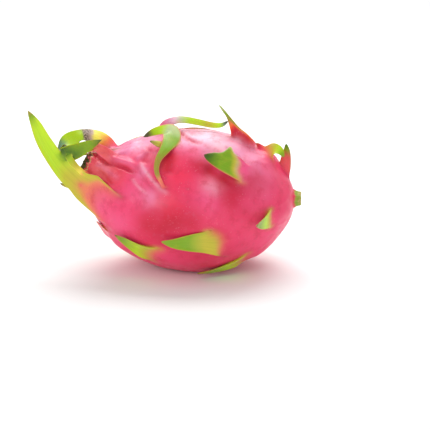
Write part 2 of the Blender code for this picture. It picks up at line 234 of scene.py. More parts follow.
# the bracts of the hidden sides stand on a spiral, with turns in degrees. Touches are what a few
# of them have of their own: how far the tip sinks, shares of the usual length and width, the
# lift off the skin, and colours
spiral = {
    "count": 34, "angle": 137.5, "startTurn": 40.0, "startT": 0.90, "spanT": 0.60, "seed": 21,
    "bodyArc": 215.0, "crownEdge": 0.24, "rootDepth": 3.4, "rise": 5.0,
    "length": 36.0, "crownMore": 24.0, "lengthVary": 6.0, "half": 10.6, "halfVary": (-1.4, 1.6),
    "lift": (7.0, 15.0), "driftVary": 9.0, "behindTopLift": 0.5, "underLift": 2.5,
    "stemLength": 0.72, "stemWidth": 0.85, "openLift": 8.0, "openDroop": 7.0,
    "cup": (-0.2, 0.2), "slant": (0.13, 0.13), "bleed": 0.55, "margin": "yellowGreen",
    "colours": [(0.0, "pinkRed"), (0.24, "hotPink"), (0.35, "coral"), (0.42, "salmon"),
                (0.49, "yellowGreen"), (0.62, "lime"), (0.86, "leafGreen"), (0.95, "olive"),
                (1.0, "tipBrown")],
    "touches": {
        "spiral33": {"sink": 7.0, "width": 0.62},
        # spiral31: its pale pink margin is a painted highlight along the fold's edge
        "spiral31": {"sink": 0.5, "margin": "palePink",
                     "colours": [(0.0, "pinkRed"), (0.4, "hotPink"), (0.8, "lilacPink"),
                                 (1.0, "olive")]},
        "spiral10": {"sink": 1.9, "length": 1.1, "margin": "rust",
                     "colours": [(0.0, "pinkRed"), (0.3, "palePink"), (0.7, "palePink"),
                                 (0.88, "hotPink"), (1.0, "rust")]},
        "spiral19": {"length": 0.84},
        "spiral27": {"length": 0.55, "lift": 0.0, "margin": "hotPink",
                     "colours": [(0.0, "pinkRed"), (0.4, "hotPink"), (0.8, "coral"),
                                 (1.0, "salmon")]},
    },
}


def smoothStep(x, low, high):
    f = np.clip((x - low) / (high - low), 0.0, 1.0)
    return f * f * (3.0 - 2.0 * f)


def bell(x, width):
    # 1 at zero, falling off over about one width
    return np.exp(-(x / width) ** 2)


def splineAt(points, t):
    # smooth curve through evenly spaced points, for many places at once
    p = np.asarray(points, float)
    last = len(p) - 1
    f = np.clip(t, 0.0, 1.0) * last
    i = np.minimum(f.astype(int), last - 1)
    u = (f - i)[:, None]
    full = np.vstack([2 * p[0] - p[1], p, 2 * p[-1] - p[-2]])
    a, b, c, d = full[i], full[i + 1], full[i + 2], full[i + 3]
    cubic = 2 * b + (c - a) * u + (2 * a - 5 * b + 4 * c - d) * u * u
    return 0.5 * (cubic + (3 * b - a - 3 * c + d) * u ** 3)


def unit(v):
    return v / np.maximum(np.linalg.norm(v, axis=-1, keepdims=True), 1e-9)


def softNoise(p, size, seed):
    # smooth noise from -1 to 1 at points p, with bumps about one size apart
    q = p / size + seed * 17.31
    cell = np.floor(q).astype(np.int64)
    f = q - cell
    f = f * f * (3 - 2 * f)
    total = np.zeros(len(p))
    for corner in range(8):
        step = np.array([corner & 1, corner >> 1 & 1, corner >> 2 & 1])
        c = cell + step
        # large odd numbers scramble each corner's whole-number place into a value
        h = c[:, 0] * 374761393 + c[:, 1] * 668265263 + c[:, 2] * 2147483647 + seed * 974634777
        h = (h ^ (h >> 13)) * 1274126177
        value = ((h ^ (h >> 16)) & 0xffff) / 32767.5 - 1.0
        weight = np.prod(np.where(step == 1, f, 1 - f), axis=1)
        total += value * weight
    return total


def skin(t, turn):
    # points of the body's skin: t runs from crown to stem, turn is 0 at the top and grows
    # towards the front
    t = np.atleast_1d(np.asarray(t, float))
    turn = np.atleast_1d(np.asarray(turn, float))
    t, turn = np.broadcast_arrays(t, turn)
    top = splineAt(body["topLine"], t)
    low = splineAt(body["bellyLine"], t)
    deep = splineAt([(w,) for w in body["halfDepth"]], t)[:, 0]
    # slow lengthwise folds
    fold = 0.016 * np.cos(3 * turn + 0.6) + 0.010 * np.cos(5 * turn + 9 * t)
    swell = 1.0 + fold * 16 * t * t * (1 - t) * (1 - t)
    rise = np.cos(turn) * swell
    x = (top[:, 0] + low[:, 0]) / 2 + (top[:, 0] - low[:, 0]) / 2 * rise
    z = (top[:, 1] + low[:, 1]) / 2 + (top[:, 1] - low[:, 1]) / 2 * rise
    return np.stack([x, -deep * np.sin(turn) * swell, z + body["restHeight"]], axis=1)


def skinNormal(t, turn):
    step = 0.004
    t = np.atleast_1d(np.asarray(t, float))
    turn = np.atleast_1d(np.asarray(turn, float))
    along = skin(t + step, turn) - skin(t - step, turn)
    around = skin(t, turn + step) - skin(t, turn - step)
    return unit(np.cross(around, along))


def fromFront(x, seen, y):
    # the point at depth y that shows at this height from the front
    lean = radians(body["lookDown"])
    return x, y, (seen - y * sin(lean)) / cos(lean) + body["restHeight"]


def seenFromFront(p):
    lean = radians(body["lookDown"])
    height = (p[:, 2] - body["restHeight"]) * cos(lean) + p[:, 1] * sin(lean)
    return np.stack([p[:, 0], height], axis=1)


def towardsFront(v):
    lean = radians(body["lookDown"])
    return v[:, 2] * sin(lean) - v[:, 1] * cos(lean)


def colourRun(stops, u):
    # colours along a bract, between its named stops
    places = [s[0] for s in stops]
    values = np.array([paint(s[1]) for s in stops])
    return np.stack([np.interp(u, places, values[:, k]) for k in range(3)], axis=1)


def ringFaces(rings, sides, closed=False):
    # quads between rings of points, back to the first ring if closed
    faces = []
    for i in range(rings if closed else rings - 1):
        low, high = i * sides, (i + 1) % rings * sides
        for j in range(sides):
            k = (j + 1) % sides
            faces.append((low + j, low + k, high + k, high + j))
    return faces


def capFaces(rings, sides, first, last):
    # fans from two end points to the first and the last ring
    faces = []
    end = (rings - 1) * sides
    for j in range(sides):
        k = (j + 1) % sides
        faces.append((first, k, j))
        faces.append((last, end + j, end + k))
    return faces


def bladeSurface(name, spec, number):
    # closed, fleshy blade along the spline through its rows; thin at margins and tip
    rows = np.asarray(spec["rows"], float)
    fine = np.linspace(0, 1, bract["pathSteps"])
    path = splineAt(rows, fine)[:, :3]
    run = np.concatenate([[0], np.cumsum(np.linalg.norm(np.diff(path, axis=0), axis=1))])
    steps = int(min(max(run[-1] * bract["stepsPerMm"], bract["stepsLeast"]), bract["stepsMost"]))
    u = np.interp(np.linspace(0, run[-1], steps), run, fine)
    u[-1] = 1.0
    row = splineAt(rows, u)
    ahead, behind = np.minimum(u + 0.02, 1), np.maximum(u - 0.02, 0)
    tangent = unit(splineAt(rows, ahead)[:, :3] - splineAt(rows, behind)[:, :3])
    face = splineAt(spec["face"], u)
    face = unit(face - tangent * np.sum(face * tangent, axis=1, keepdims=True))
    across = np.cross(tangent, face)
    half = np.maximum(row[:, 3], bract["narrowest"])
    point = np.sqrt(np.clip((1.0 - u) / bract["tipShare"], 0.0, 1.0))
    thinning = np.minimum(1.0, u * 1.25) ** 0.7
    flesh = bract["rootFlesh"] + (bract["tipFlesh"] - bract["rootFlesh"]) * thinning
    flesh = np.minimum(flesh, 0.9 * half + 0.5)
    cup = spec["cup"][0] + (spec["cup"][1] - spec["cup"][0]) * np.minimum(1.0, 2.0 * u)
    rng = random.Random(100 + number)
    turnA, turnB = rng.uniform(0, 6), rng.uniform(0, 6)
    n = bract["stepsRound"]
    psi = np.linspace(0, 2 * pi, n, endpoint=False)
    v = np.cos(psi)
    side = np.sign(np.sin(psi)) * np.abs(np.sin(psi)) ** 0.65
    free = smoothStep(u, 0.3, 0.6)      # the free part's margins waver
    verts = []
    for i in range(len(u)):
        w = np.full(n, half[i])
        for margin, place, spread, more in spec["lobes"]:
            w += more * exp(-((u[i] - place) / spread) ** 2) * np.clip(margin * v, 0, 1)
        w *= max(point[i], 0.04)
        thick = flesh[i] * (1 - (1 - bract["marginShare"]) * np.abs(v) ** 1.5)
        thick = thick * max(point[i] ** 0.5, 0.1)
        wave = np.sin(9 * u[i] + np.where(v > 0, turnA, turnB)) * np.abs(v) ** 3
        wave = bract["waver"] * free[i] * wave * min(1.0, half[i] / 4)
        lift = cup[i] * half[i] * v * v + wave + side * thick / 2
        verts.append(row[i, :3] + across[i] * (w * v)[:, None] + face[i] * lift[:, None])
    verts.append(row[:1, :3])
    verts.append(row[-1:, :3] + tangent[-1:] * 0.15)
    ends = np.zeros(2)
    root, tip = len(u) * n, len(u) * n + 1
    return {"name": name, "spec": spec, "verts": np.vstack(verts),
            "faces": ringFaces(len(u), n) + capFaces(len(u), n, root, tip),
            "u": np.concatenate([np.repeat(u, n), [0.0, 1.0]]),
            "v": np.concatenate([np.tile(v, len(u)), ends]),
            "side": np.concatenate([np.tile(side, len(u)), ends]),
            "row": row, "across": across, "tangent": tangent, "steps": u}


def spiralRows(t, turn, length, half, lift, drift, droop):
    # a bract that leaves the skin towards the crown and curls away from it
    rows, faces = [], []
    for i in range(7):
        u = i / 6
        at = t - u * length / spiral["bodyArc"]
        past = max(0.0, spiral["crownEdge"] - at) * spiral["bodyArc"]
        at = max(at, spiral["crownEdge"])
        around = turn + drift * u * u
        out = skinNormal(at, around)[0]
        ahead = unit(skin(at - 0.01, around)[0] - skin(at + 0.01, around)[0])
        height = -spiral["rootDepth"] + spiral["rise"] * u + lift * u ** 2.6
        p = skin(at, around)[0] + out * height + ahead * past * 0.8
        p[2] -= droop * u * u
        rows.append((*p, half * (1.0 - u) ** 0.8 * (1.0 + 0.45 * u) + 0.4))
        faces.append(tuple(out))
    return rows, faces


def onHiddenSide(t, turn):
    # degrees, 0 at the top and 90 at the front
    back = -160 < turn < -62 and 0.26 < t < 0.88
    upperBack = -62 <= turn < -16 and 0.30 < t < 0.80
    stemFront = 40 < turn < 150 and t > 0.80
    lowFront = 124 < turn < 156 and 0.34 < t < 0.80
    return back or upperBack or stemFront or lowFront


def spiralBracts():
    rng = random.Random(spiral["seed"])
    vary = spiral["lengthVary"]
    out = []
    for i in range(spiral["count"]):
        t = spiral["startT"] - spiral["spanT"] * (i + 0.5) / spiral["count"]
        turn = (spiral["startTurn"] + spiral["angle"] * i + 180.0) % 360.0 - 180.0
        length = spiral["length"] + spiral["crownMore"] * (1.0 - t) + rng.uniform(-vary, vary)
        half = spiral["half"] + rng.uniform(*spiral["halfVary"])
        lift = rng.uniform(*spiral["lift"])
        drift = radians(rng.uniform(-spiral["driftVary"], spiral["driftVary"]))
        droop = 0.0
        if not onHiddenSide(t, turn):
            continue
        if -62 <= turn < -16:
            lift = spiral["behindTopLift"]
        if turn > 120 or turn < -135:
            lift = spiral["underLift"]
        if t > 0.8:
            length *= spiral["stemLength"]
            half *= spiral["stemWidth"]
        if t < 0.42 and -135 < turn < -62:      # the crown's bracts stand open
            lift += spiral["openLift"]
            droop = spiral["openDroop"]
        name = "spiral%02d" % i
        own = spiral["touches"].get(name, {})
        length *= own.get("length", 1.0)
        lift = own.get("lift", lift)
        rows, faces = spiralRows(t, radians(turn), length, half, lift, drift, droop)
        rows = [(x, y, z - own.get("sink", 0.0) * k / 6, w * own.get("width", 1.0))
                for k, (x, y, z, w) in enumerate(rows)]
        spec = {"rows": rows, "face": faces, "lobes": []}
        for key in ("cup", "slant", "bleed", "colours", "margin"):
            spec[key] = own.get(key, spiral[key])
        out.append((name, spec))
    return out


def allBracts():
    specs = []
    for name, spec in frontBracts.items():
        rows = [(*fromFront(x, seen, y), half) for x, seen, y, half in spec["rows"]]
        specs.append((name, dict(spec, rows=rows)))
    specs += spiralBracts()
    return [bladeSurface(name, spec, number) for number, (name, spec) in enumerate(specs)]


# creases and ridges of the front, as lines seen from the front: a depth below zero is a groove.
# Tone is the colour painted along the line, and amount how strong the colour is: painted shade
# in the grooves and a painted highlight along the ridges
frontFolds = {
    "mouthCrease": {"line": [(-63.3, 31.6), (-59.4, 27.5), (-54, 24.8), (-47.6, 23.0),
                             (-42, 21.0), (-37.8, 18.6), (-34, 15.8)],
                    "depth": -2.2, "width": 1.6},
    "mouthRidge": {"line": [(-61.4, 32.6), (-55.5, 28.4), (-47.6, 25.8), (-39.8, 24.0),
                            (-33.5, 21.0)],
                   "depth": 1.3, "width": 1.9, "amount": 0.25},
    "upperCrease": {"line": [(-60, 34.4), (-55, 30.9), (-48, 28.4), (-40, 29.8)],
                    "depth": -1.3, "width": 1.3},
    "upperRidge": {"line": [(-59.4, 36.4), (-54.5, 33.2), (-47.6, 31.2), (-39.7, 33),
                            (-31.9, 37)],
                   "depth": 1.1, "width": 2.2},
    "lowRidge": {"line": [(-62, 24.4), (-56, 21.0), (-50, 16.5), (-44, 12.5)],
                 "depth": 0.6, "width": 2.2},
    "lowCrease": {"line": [(-60.5, 20.5), (-56.5, 16.4), (-53.5, 11.9), (-49, 8.6)],
                  "depth": -0.8, "width": 1.5, "amount": 0.15},
    "rimCrease": {"line": [(-58.5, 13.2), (-54.6, 9.8), (-51.4, 5.2), (-47.5, 3.2),
                           (-43.7, 2.0), (-39.5, 1.4)],
                  "depth": -1.5, "width": 1.1, "tone": "deepCrimson", "amount": 0.8},
    "shoulderRidge": {"line": [(-27.3, 32.8), (-31, 29), (-36, 25.8)],
                      "depth": 0.9, "width": 1.5},
    "shoulderCrease": {"line": [(-25, 33.5), (-28.6, 28.0), (-30.0, 22.5)],
                       "depth": -1.0, "width": 1.6},
    "longRidge": {"line": [(-32.5, 25.4), (-29.5, 19.6), (-24.5, 13.0), (-18.5, 7.0),
                           (-12.5, 2.0)],
                  "depth": 0.7, "width": 1.1, "tone": "palePink", "amount": 0.55},
    "longCrease": {"line": [(-35, 23), (-32, 17.0), (-27, 10.4), (-21, 4.4)],
                   "depth": -0.8, "width": 1.0, "amount": 0.3},
    "sideRidge": {"line": [(-37.5, 14.4), (-34.6, 10.0), (-31.0, 6.4), (-27, 3.4)],
                  "depth": 0.4, "width": 1.2, "tone": "palePink", "amount": 0.3},
    "hookCrease": {"line": [(-11.0, 51.0), (-8.2, 46.6), (-5.6, 43.2), (-2.2, 40.3),
                            (2.4, 37.6), (8, 35.8)],
                   "depth": -1.2, "width": 1.3, "tone": "crimson", "amount": 0.95},
    "hookRise": {"line": [(-7.0, 50.0), (-5.0, 46.4), (-2.0, 43.2), (2.2, 40.6), (8, 38.8)],
                 "depth": 0.4, "width": 1.6, "tone": "palePink", "amount": 0.4},
    "hookHollow": {"line": [(-13, 33), (-14.5, 24), (-13, 14)], "depth": -1.5, "width": 4.5},
    "bellyRidge": {"line": [(15.5, 9), (14.5, -4), (12.0, -16)],
                   "depth": 0.7, "width": 3.0, "amount": 0.0},
    "lensShade": {"line": [(10, 21), (20, 14), (33, 9)], "depth": -1.2, "width": 4.0},
}

# low relief of the skin, in millimetres: noise as size, height and seed, the folds that run into
# the mouth, and the swelling below each bract's root with the two ridges that its margins leave
skinRelief = {
    "noise": [(26.0, 0.55, 3), (11.0, 0.28, 5), (4.0, 0.07, 8)],
    "neckT": 0.2, "neckWidth": 0.10, "neckFolds": 0.9, "neckFineFolds": 0.45,
    "noSwell": ["hook", "hookFlap", "crownArch", "topStrip", "endTip"],
    "rootU": 0.13, "spiralRootU": 0.17, "swell": 1.4, "swellBelow": 15.0, "swellAbove": 6.0,
    "nearby": 40, "ridge": 0.45, "ridgeWidth": 1.3, "ridgeRun": 13.0,
}


def foldAlong(points, line):
    # distance from 2D points to a run of straight pieces, and how strong the fold is there:
    # its two ends fade
    best = np.full(len(points), 1e9)
    where = np.zeros(len(points))
    pieces = list(zip(line[:-1], line[1:]))
    for k, (a, b) in enumerate(pieces):
        a, b = np.array(a, float), np.array(b, float)
        f = np.clip(((points - a) @ (b - a)) / np.dot(b - a, b - a), 0, 1)
        d = np.linalg.norm(points - (a + f[:, None] * (b - a)), axis=1)
        closer = d < best
        best = np.where(closer, d, best)
        where = np.where(closer, (k + f) / len(pieces), where)
    return best, smoothStep(where, 0.0, 0.12) * (1 - smoothStep(where, 0.75, 1.0))


def rootSwell(p, blade):
    # the skin swells below a bract and runs into its outer face, between two faint ridges
    look = skinRelief
    rootU = look["spiralRootU"] if blade["name"].startswith("spiral") else look["rootU"]
    root = int(np.searchsorted(blade["steps"], rootU))
    half = blade["row"][root, 3]
    gap = p - blade["row"][root, :3]
    a, b = gap @ -blade["tangent"][root], gap @ blade["across"][root]
    near = bell(b, 0.8 * half) * (np.linalg.norm(gap, axis=1) < look["nearby"])
    rise = look["swell"] * near * np.where(a > 0, bell(a, look["swellBelow"]),
                                           bell(a, look["swellAbove"]))
    for margin in (-1, 1):
        line = bell(b - margin * half * (0.85 + 0.012 * a), look["ridgeWidth"])
        fade = smoothStep(a, -2.0, 3.0) * bell(a, look["ridgeRun"]) * near ** 0.3
        rise += look["ridge"] * line * fade
    return rise


def skinShift(p, normal, t, turn, blades):
    # how far each point of the skin is moved outwards
    shift = sum(height * softNoise(p, size, seed) for size, height, seed in skinRelief["noise"])
    neck = bell(t - skinRelief["neckT"], skinRelief["neckWidth"])
    neck *= 1 - 0.75 * smoothStep(-normal[:, 1], 0.1, 0.5)
    folds = skinRelief["neckFolds"] * np.cos(9 * turn + 2.0 * np.sin(2 * turn))
    shift += neck * (folds + skinRelief["neckFineFolds"] * np.cos(17 * turn + 1.0))
    shift *= smoothStep(t, 0.03, 0.13) * (1 - smoothStep(t, 0.93, 0.99))
    seen = seenFromFront(p)
    front = smoothStep(towardsFront(normal), -0.1, 0.15)
    for fold in frontFolds.values():
        d, ends = foldAlong(seen, fold["line"])
        shift += fold["depth"] * bell(d, fold["width"]) * ends * front
    for blade in blades:
        if blade["name"] not in skinRelief["noSwell"]:
            shift += rootSwell(p, blade)
    return shift


def bodySurface(blades):
    rings, sides = body["rings"], body["sides"]
    t = np.arange(1, rings) / rings
    t = t - 0.075 * np.sin(2 * pi * t) - 0.035 * np.sin(pi * t)     # closer rings at the crown
    turn = np.linspace(0, 2 * pi, sides, endpoint=False)
    turn = turn + 0.34 * np.cos(turn)     # closer lines at the front
    t, turn = [a.ravel() for a in np.meshgrid(t, turn, indexing="ij")]
    t = np.concatenate([t, [0.0, 1.0]])
    turn = np.concatenate([turn, [0.0, 0.0]])
    axis = unit(np.array(body["mouthAxis"]))
    p = skin(t, turn)
    normal = skinNormal(np.clip(t, 0.01, 0.99), turn)
    normal[-2:] = axis, (1, 0, 0)
    p = p + normal * skinShift(p, normal, t, turn, blades)[:, None]
    # shallow mouth of the flower scar, with a ragged lip
    inside = np.clip(t / body["mouthT"], 0, 1)
    p -= axis * (body["mouthDepth"] * (1 - inside ** 2))[:, None]
    ring = np.clip(1 - ((t - body["mouthT"]) / body["lipWidth"]) ** 2, 0, 1)
    ragged = 1 + 0.35 * np.sin(11 * turn + 1) + 0.25 * np.sin(23 * turn)
    p += axis * (body["mouthLip"] * ring * ragged)[:, None]
    crown, stem = len(p) - 2, len(p) - 1
    faces = ringFaces(rings - 1, sides) + capFaces(rings - 1, sides, crown, stem)
    return {"verts": p, "faces": faces, "t": t}


def addObject(name, data):
    piece = bpy.data.objects.new(name, data)
    bpy.context.scene.collection.objects.link(piece)
    return piece


def turnOutwards(mesh):
    bm = bmesh.new()
    bm.from_mesh(mesh)
    bmesh.ops.recalc_face_normals(bm, faces=bm.faces)
    bm.to_mesh(mesh)
    bm.free()


def meshObject(name, verts, faces):
    mesh = bpy.data.meshes.new(name)
    mesh.from_pydata((np.asarray(verts) * mm).tolist(), [], faces)
    mesh.update()
    turnOutwards(mesh)
    return addObject(name, mesh)


def joinBlades(shell, blades):
    # one grown skin: a Boolean union of the body and every bract
    growth = bpy.data.collections.new("growth")
    bpy.context.scene.collection.children.link(growth)
    for blade in blades:
        extra = meshObject(blade["name"], blade["verts"], blade["faces"])
        bpy.context.scene.collection.objects.unlink(extra)
        growth.objects.link(extra)
    join = shell.modifiers.new("join", "BOOLEAN")
    join.operation = "UNION"
    join.operand_type = "COLLECTION"
    join.collection = growth
    join.solver = "MANIFOLD"
    bpy.context.view_layer.update()
    graph = bpy.context.evaluated_depsgraph_get()
    joined = bpy.data.meshes.new_from_object(shell.evaluated_get(graph))
    shell.modifiers.clear()
    shell.data = joined
    for extra in list(growth.objects):
        bpy.data.objects.remove(extra, do_unlink=True)
    bpy.data.collections.remove(growth)


# how the joins are finished, in millimetres: the fewest points that are no crumb, how far and how
# often a root and a margin are smoothed, and how far the colours run into each other
seamLook = {
    "crumbPoints": 60, "cutGap": 0.004, "aboveTable": 0.6, "strength": 0.6,
    "rootReach": 3.0, "rootTurns": 34, "marginReach": 0.8, "marginTurns": 8,
    "bleed": 3.6, "bleedTurns": 45, "bleedNearby": 11.0,
}


def dropCrumbs(piece):
    # loose slivers that the union leaves inside
    bm = bmesh.new()
    bm.from_mesh(piece.data)
    seen = set()
    for start in list(bm.verts):
        if not start.is_valid or start in seen:
            continue
        group, stack = [start], [start]
        seen.add(start)
        while stack:
            for edge in stack.pop().link_edges:
                for other in edge.verts:
                    if other not in seen:
                        seen.add(other)
                        stack.append(other)
                        group.append(other)
        if len(group) < seamLook["crumbPoints"]:
            bmesh.ops.delete(bm, geom=group, context="VERTS")
    bm.to_mesh(piece.data)
    bm.free()


def restFlat(piece):
    # cuts the small flat that the fruit rests on
    bm = bmesh.new()
    bm.from_mesh(piece.data)
    geom = bm.verts[:] + bm.edges[:] + bm.faces[:]
    bmesh.ops.bisect_plane(bm, geom=geom, dist=1e-6, plane_co=(0, 0, 0), plane_no=(0, 0, -1),
                           clear_outer=True)
    rim = [e for e in bm.edges if e.is_boundary]
    bmesh.ops.holes_fill(bm, edges=rim, sides=0)
    bmesh.ops.triangulate(bm, faces=[f for f in bm.faces if len(f.verts) > 4])
    bm.to_mesh(piece.data)
    bm.free()


def nearestIn(points, where):
    # the nearest of some points to each of the others: which one, and how far
    tree = KDTree(len(points))
    for i, q in enumerate(points):
        tree.insert(q, i)
    tree.balance()
    found = [tree.find(q) for q in where]
    return np.array([f[1] for f in found]), np.array([f[2] for f in found])


def neighbourMean(edges, values):
    # the mean of each point's neighbours
    n = len(values)
    total = np.zeros_like(values)
    for k in range(values.shape[1]):
        total[:, k] += np.bincount(edges[:, 0], values[edges[:, 1], k], n)
        total[:, k] += np.bincount(edges[:, 1], values[edges[:, 0], k], n)
    count = np.bincount(edges[:, 0], minlength=n) + np.bincount(edges[:, 1], minlength=n)
    return total / np.maximum(count, 1)[:, None]


def ofAll(blades, key):
    return np.concatenate([blade[key] for blade in blades])


def softenSeams(piece, blades, shellVerts):
    # rounds the cuts where bracts leave the body: widely at a root's outer face, narrowly
    # elsewhere
    mesh = piece.data
    co = np.empty(len(mesh.vertices) * 3)
    mesh.vertices.foreach_get("co", co)
    co = co.reshape(-1, 3) / mm
    edges = np.empty(len(mesh.edges) * 2, np.int32)
    mesh.edges.foreach_get("vertices", edges)
    edges = edges.reshape(-1, 2)
    bladeVerts = ofAll(blades, "verts")
    near, gap = nearestIn(np.vstack([shellVerts, bladeVerts]), co)
    above = co[:, 2] > seamLook["aboveTable"]
    cut = co[(gap > seamLook["cutGap"]) & above]
    which, _ = nearestIn(bladeVerts, cut)
    u, v, side = [ofAll(blades, key)[which] for key in ("u", "v", "side")]
    atRoot = (side > 0.25) & (np.abs(v) < 0.93) & (u < 0.55)
    _, toRoot = nearestIn(cut[atRoot], co)
    _, toMargin = nearestIn(cut[~atRoot], co)
    byMargin = seamLook["strength"] * bell(toMargin, seamLook["marginReach"]) * above
    byRoot = seamLook["strength"] * bell(toRoot, seamLook["rootReach"]) * above
    byRoot *= smoothStep(toMargin, 0.2, 1.6)
    for turns, strength in ((seamLook["marginTurns"], byMargin), (seamLook["rootTurns"], byRoot)):
        for _ in range(turns):
            co += (neighbourMean(edges, co) - co) * strength[:, None]
    mesh.vertices.foreach_set("co", (co * mm).ravel())
    mesh.update()
    return {"co": co, "edges": edges, "near": near, "toRoot": toRoot, "toMargin": toMargin}


# patches of colour on the side the photograph shows: x and height as seen, size, and amount. The
# pale pink and lilac patches along the top are painted sheen of the top light over the skin's lilac
# bloom;
# some patches below are painted shade and a painted highlight
frontPatches = [
    # brick: painted shadow behind the hook
    ("brick", (-15.8, 22.8), 5.0, 0.95), ("brick", (-11.0, 27.5), 4.5, 0.6),
    # the crimson at (6.5, 23.5) here and the deep crimson and crimson patches of the next two lines
    # are painted shade under the front bract
    ("vividRed", (-6, 15), 9.0, 0.8), ("crimson", (6.5, 23.5), 8.0, 0.85),
    ("deepCrimson", (12, 19.5), 4.0, 0.55), ("deepCrimson", (22, 13.5), 4.5, 0.75),
    ("deepCrimson", (31, 9.0), 5.0, 0.6), ("crimson", (26, 2), 11.0, 0.75),
    # pale pink and hot pink: a painted highlight on the bulge
    ("palePink", (13.5, 8.0), 6.5, 0.38), ("hotPink", (10, -1), 8.0, 0.7),
    ("crimson", (-13, -12), 13.0, 0.95), ("crimson", (-27, -16), 9.0, 0.8),
    ("crimson", (2, -14), 8.0, 0.6), ("deepCrimson", (-12, -14), 9.0, 0.22),
    ("vividRed", (-13, -2), 9.0, 0.6), ("hotPink", (-45, -16), 9.0, 0.6),
    ("lilacPink", (-26, 2), 7.0, 0.45), ("hotPink", (-36, 6), 9.0, 0.5),
    ("lilacPink", (-31, 18), 5.0, 0.5), ("lilacPink", (-24, 28), 5.0, 0.35),
    ("coral", (-50, 16), 7.0, 0.75), ("coral", (-58, 20), 6.0, 0.8),
    ("vividRed", (-47, 14), 6.0, 0.5), ("lilacPink", (-45, 33), 5.5, 0.5),
    ("lilacPink", (-36, 35), 7.0, 0.8), ("palePink", (-33, 40), 5.0, 0.6),
    ("lilacPink", (-25, 41), 7.0, 0.85), ("palePink", (-22, 43.5), 4.0, 0.5),
    ("crimson", (33, 34), 3.4, 0.75), ("coral", (-22, 27), 5.0, 0.6),
    ("hotPink", (-48, 30), 5.0, 0.5), ("lilacPink", (-3, 37), 5.5, 0.75),
    ("palePink", (-6, 42.5), 5.0, 0.5), ("palePink", (10, 40), 8.0, 0.65),
    ("palePink", (22, 36), 8.0, 0.5), ("lilacPink", (30, 30), 7.0, 0.8),
    ("lilacPink", (10, 32), 6.0, 0.55), ("hotPink", (3, 31), 5.0, 0.5),
    ("lilacPink", (42, 27), 6.0, 0.4), ("crimson", (42, 12), 9.0, 0.5),
    ("deepCrimson", (24.5, 34.0), 1.0, 0.9),
]

# patches of colour all round: x, y and height above the body's middle, size, and amount. The pale
# pink ones over the top are painted sheen of the top light over the skin's pale bloom; the crimson
# ones low down make the body darker towards the bottom
bodyPatches = [
    ("palePink", (10, -2, 46), 16, 0.7), ("palePink", (30, 0, 38), 14, 0.6),
    ("lilacPink", (42, -22, 24), 13, 0.4), ("coral", (-60, -9, 22), 10, 0.6),
    ("crimson", (12, -38, -26), 20, 0.5), ("hotPink", (50, -18, -12), 14, 0.5),
    ("hotPink", (0, 38, 20), 28, 0.4), ("crimson", (10, 36, -22), 26, 0.6),
    ("lilacPink", (-30, 22, 28), 18, 0.5), ("palePink", (25, 20, 36), 18, 0.5),
    ("coral", (-56, 12, 14), 12, 0.5),
]

# the skin's own colour, how strong its two washes are, and the painted deep red shade in the
# crevices
skinColour = {
    "ground": "pinkRed", "paleWash": 0.5, "deepWash": 0.5, "crevice": 0.55, "creviceWidth": 1.6,
    "marginTone": 0.7, "mouthEdge": (0.118, 0.134), "mouthDark": 0.9,
}


def layOver(base, name, amount):
    # a palette colour over the points' own colours
    base += (paint(name) - base) * amount[:, None]


def bodyColours(co, onBody, toMargin):
    base = np.tile(paint(skinColour["ground"]), (len(co), 1))
    layOver(base, "hotPink", skinColour["paleWash"] * (0.5 + 0.5 * softNoise(co, 24.0, 11)))
    wash = smoothStep(softNoise(co, 17.0, 13), 0.0, 0.9)
    layOver(base, "crimson", skinColour["deepWash"] * wash)
    fromMiddle = co - np.array([0, 0, body["restHeight"]])
    for name, at, size, amount in bodyPatches:
        d = np.linalg.norm(fromMiddle - np.array(at), axis=1) + 3.5 * softNoise(co, 7.0, 17)
        layOver(base, name, amount * bell(d, size))
    seen = seenFromFront(co)
    front = smoothStep(towardsFront(fromMiddle), -5.0, 1.0)
    for name, at, size, amount in frontPatches:
        d = np.linalg.norm(seen - np.array(at), axis=1)
        d += 0.22 * size * softNoise(co, 0.5 * size, 19)
        layOver(base, name, amount * bell(d, size) * front)
    # folds: painted highlight, pale along the ridges, and painted shade, deep red in the creases
    for fold in frontFolds.values():
        d, ends = foldAlong(seen, fold["line"])
        tone = fold.get("tone", "crimson" if fold["depth"] < 0 else "lilacPink")
        amount = fold.get("amount", min(0.8, 0.48 * abs(fold["depth"])))
        layOver(base, tone, amount * bell(d, 0.9 * fold["width"]) * ends * front)
    # painted shade: deep red in the crevices under the bracts' margins
    crevice = skinColour["crevice"] * bell(toMargin, skinColour["creviceWidth"])
    layOver(base, "deepCrimson", crevice * onBody)
    return base


def bractColours(spec, co, u, v, side, seed):
    # colours of one bract's points, how far they replace the skin's, and its dead bark
    back = spec["slant"][0] * np.clip(v, 0, 1) ** 3 + spec["slant"][1] * np.clip(-v, 0, 1) ** 3
    wander = 0.03 * softNoise(co, 5.0, seed)
    slanted = 1 - smoothStep(u, *spec.get("slantEnds", (0.45, 0.8)))
    run = np.clip(u + wander + back * slanted, 0, 1)
    tone = colourRun(spec["colours"], run)
    edge = smoothStep(np.abs(v), 0.84, 0.99)
    edge *= smoothStep(run, 0.12, 0.35) * (1 - smoothStep(run, 0.85, 1.0))
    rim = np.tile(paint(spec["margin"]), (len(v), 1))
    rim[v > 0] = paint(spec.get("otherMargin", spec["margin"]))
    tone += (rim - tone) * (skinColour["marginTone"] * edge)[:, None]
    # the inner face is paler: partly its own lighter green, partly painted light that lifts the
    # shade it lies in
    inner = smoothStep(-side, 0.1, 0.6) * smoothStep(u, 0.25, 0.5)
    layOver(tone, "lime", inner * spec.get("innerPale", 0.5))
    dead = np.zeros(len(v))
    if "deadBand" in spec:
        low, high = spec["deadBand"]
        dead = smoothStep(run, low - 0.015, low + 0.02)
        dead *= 1 - smoothStep(run, high - 0.006, high + 0.006)
    return tone, smoothStep(u, *spec.get("rise", (0.06, 0.2))), dead


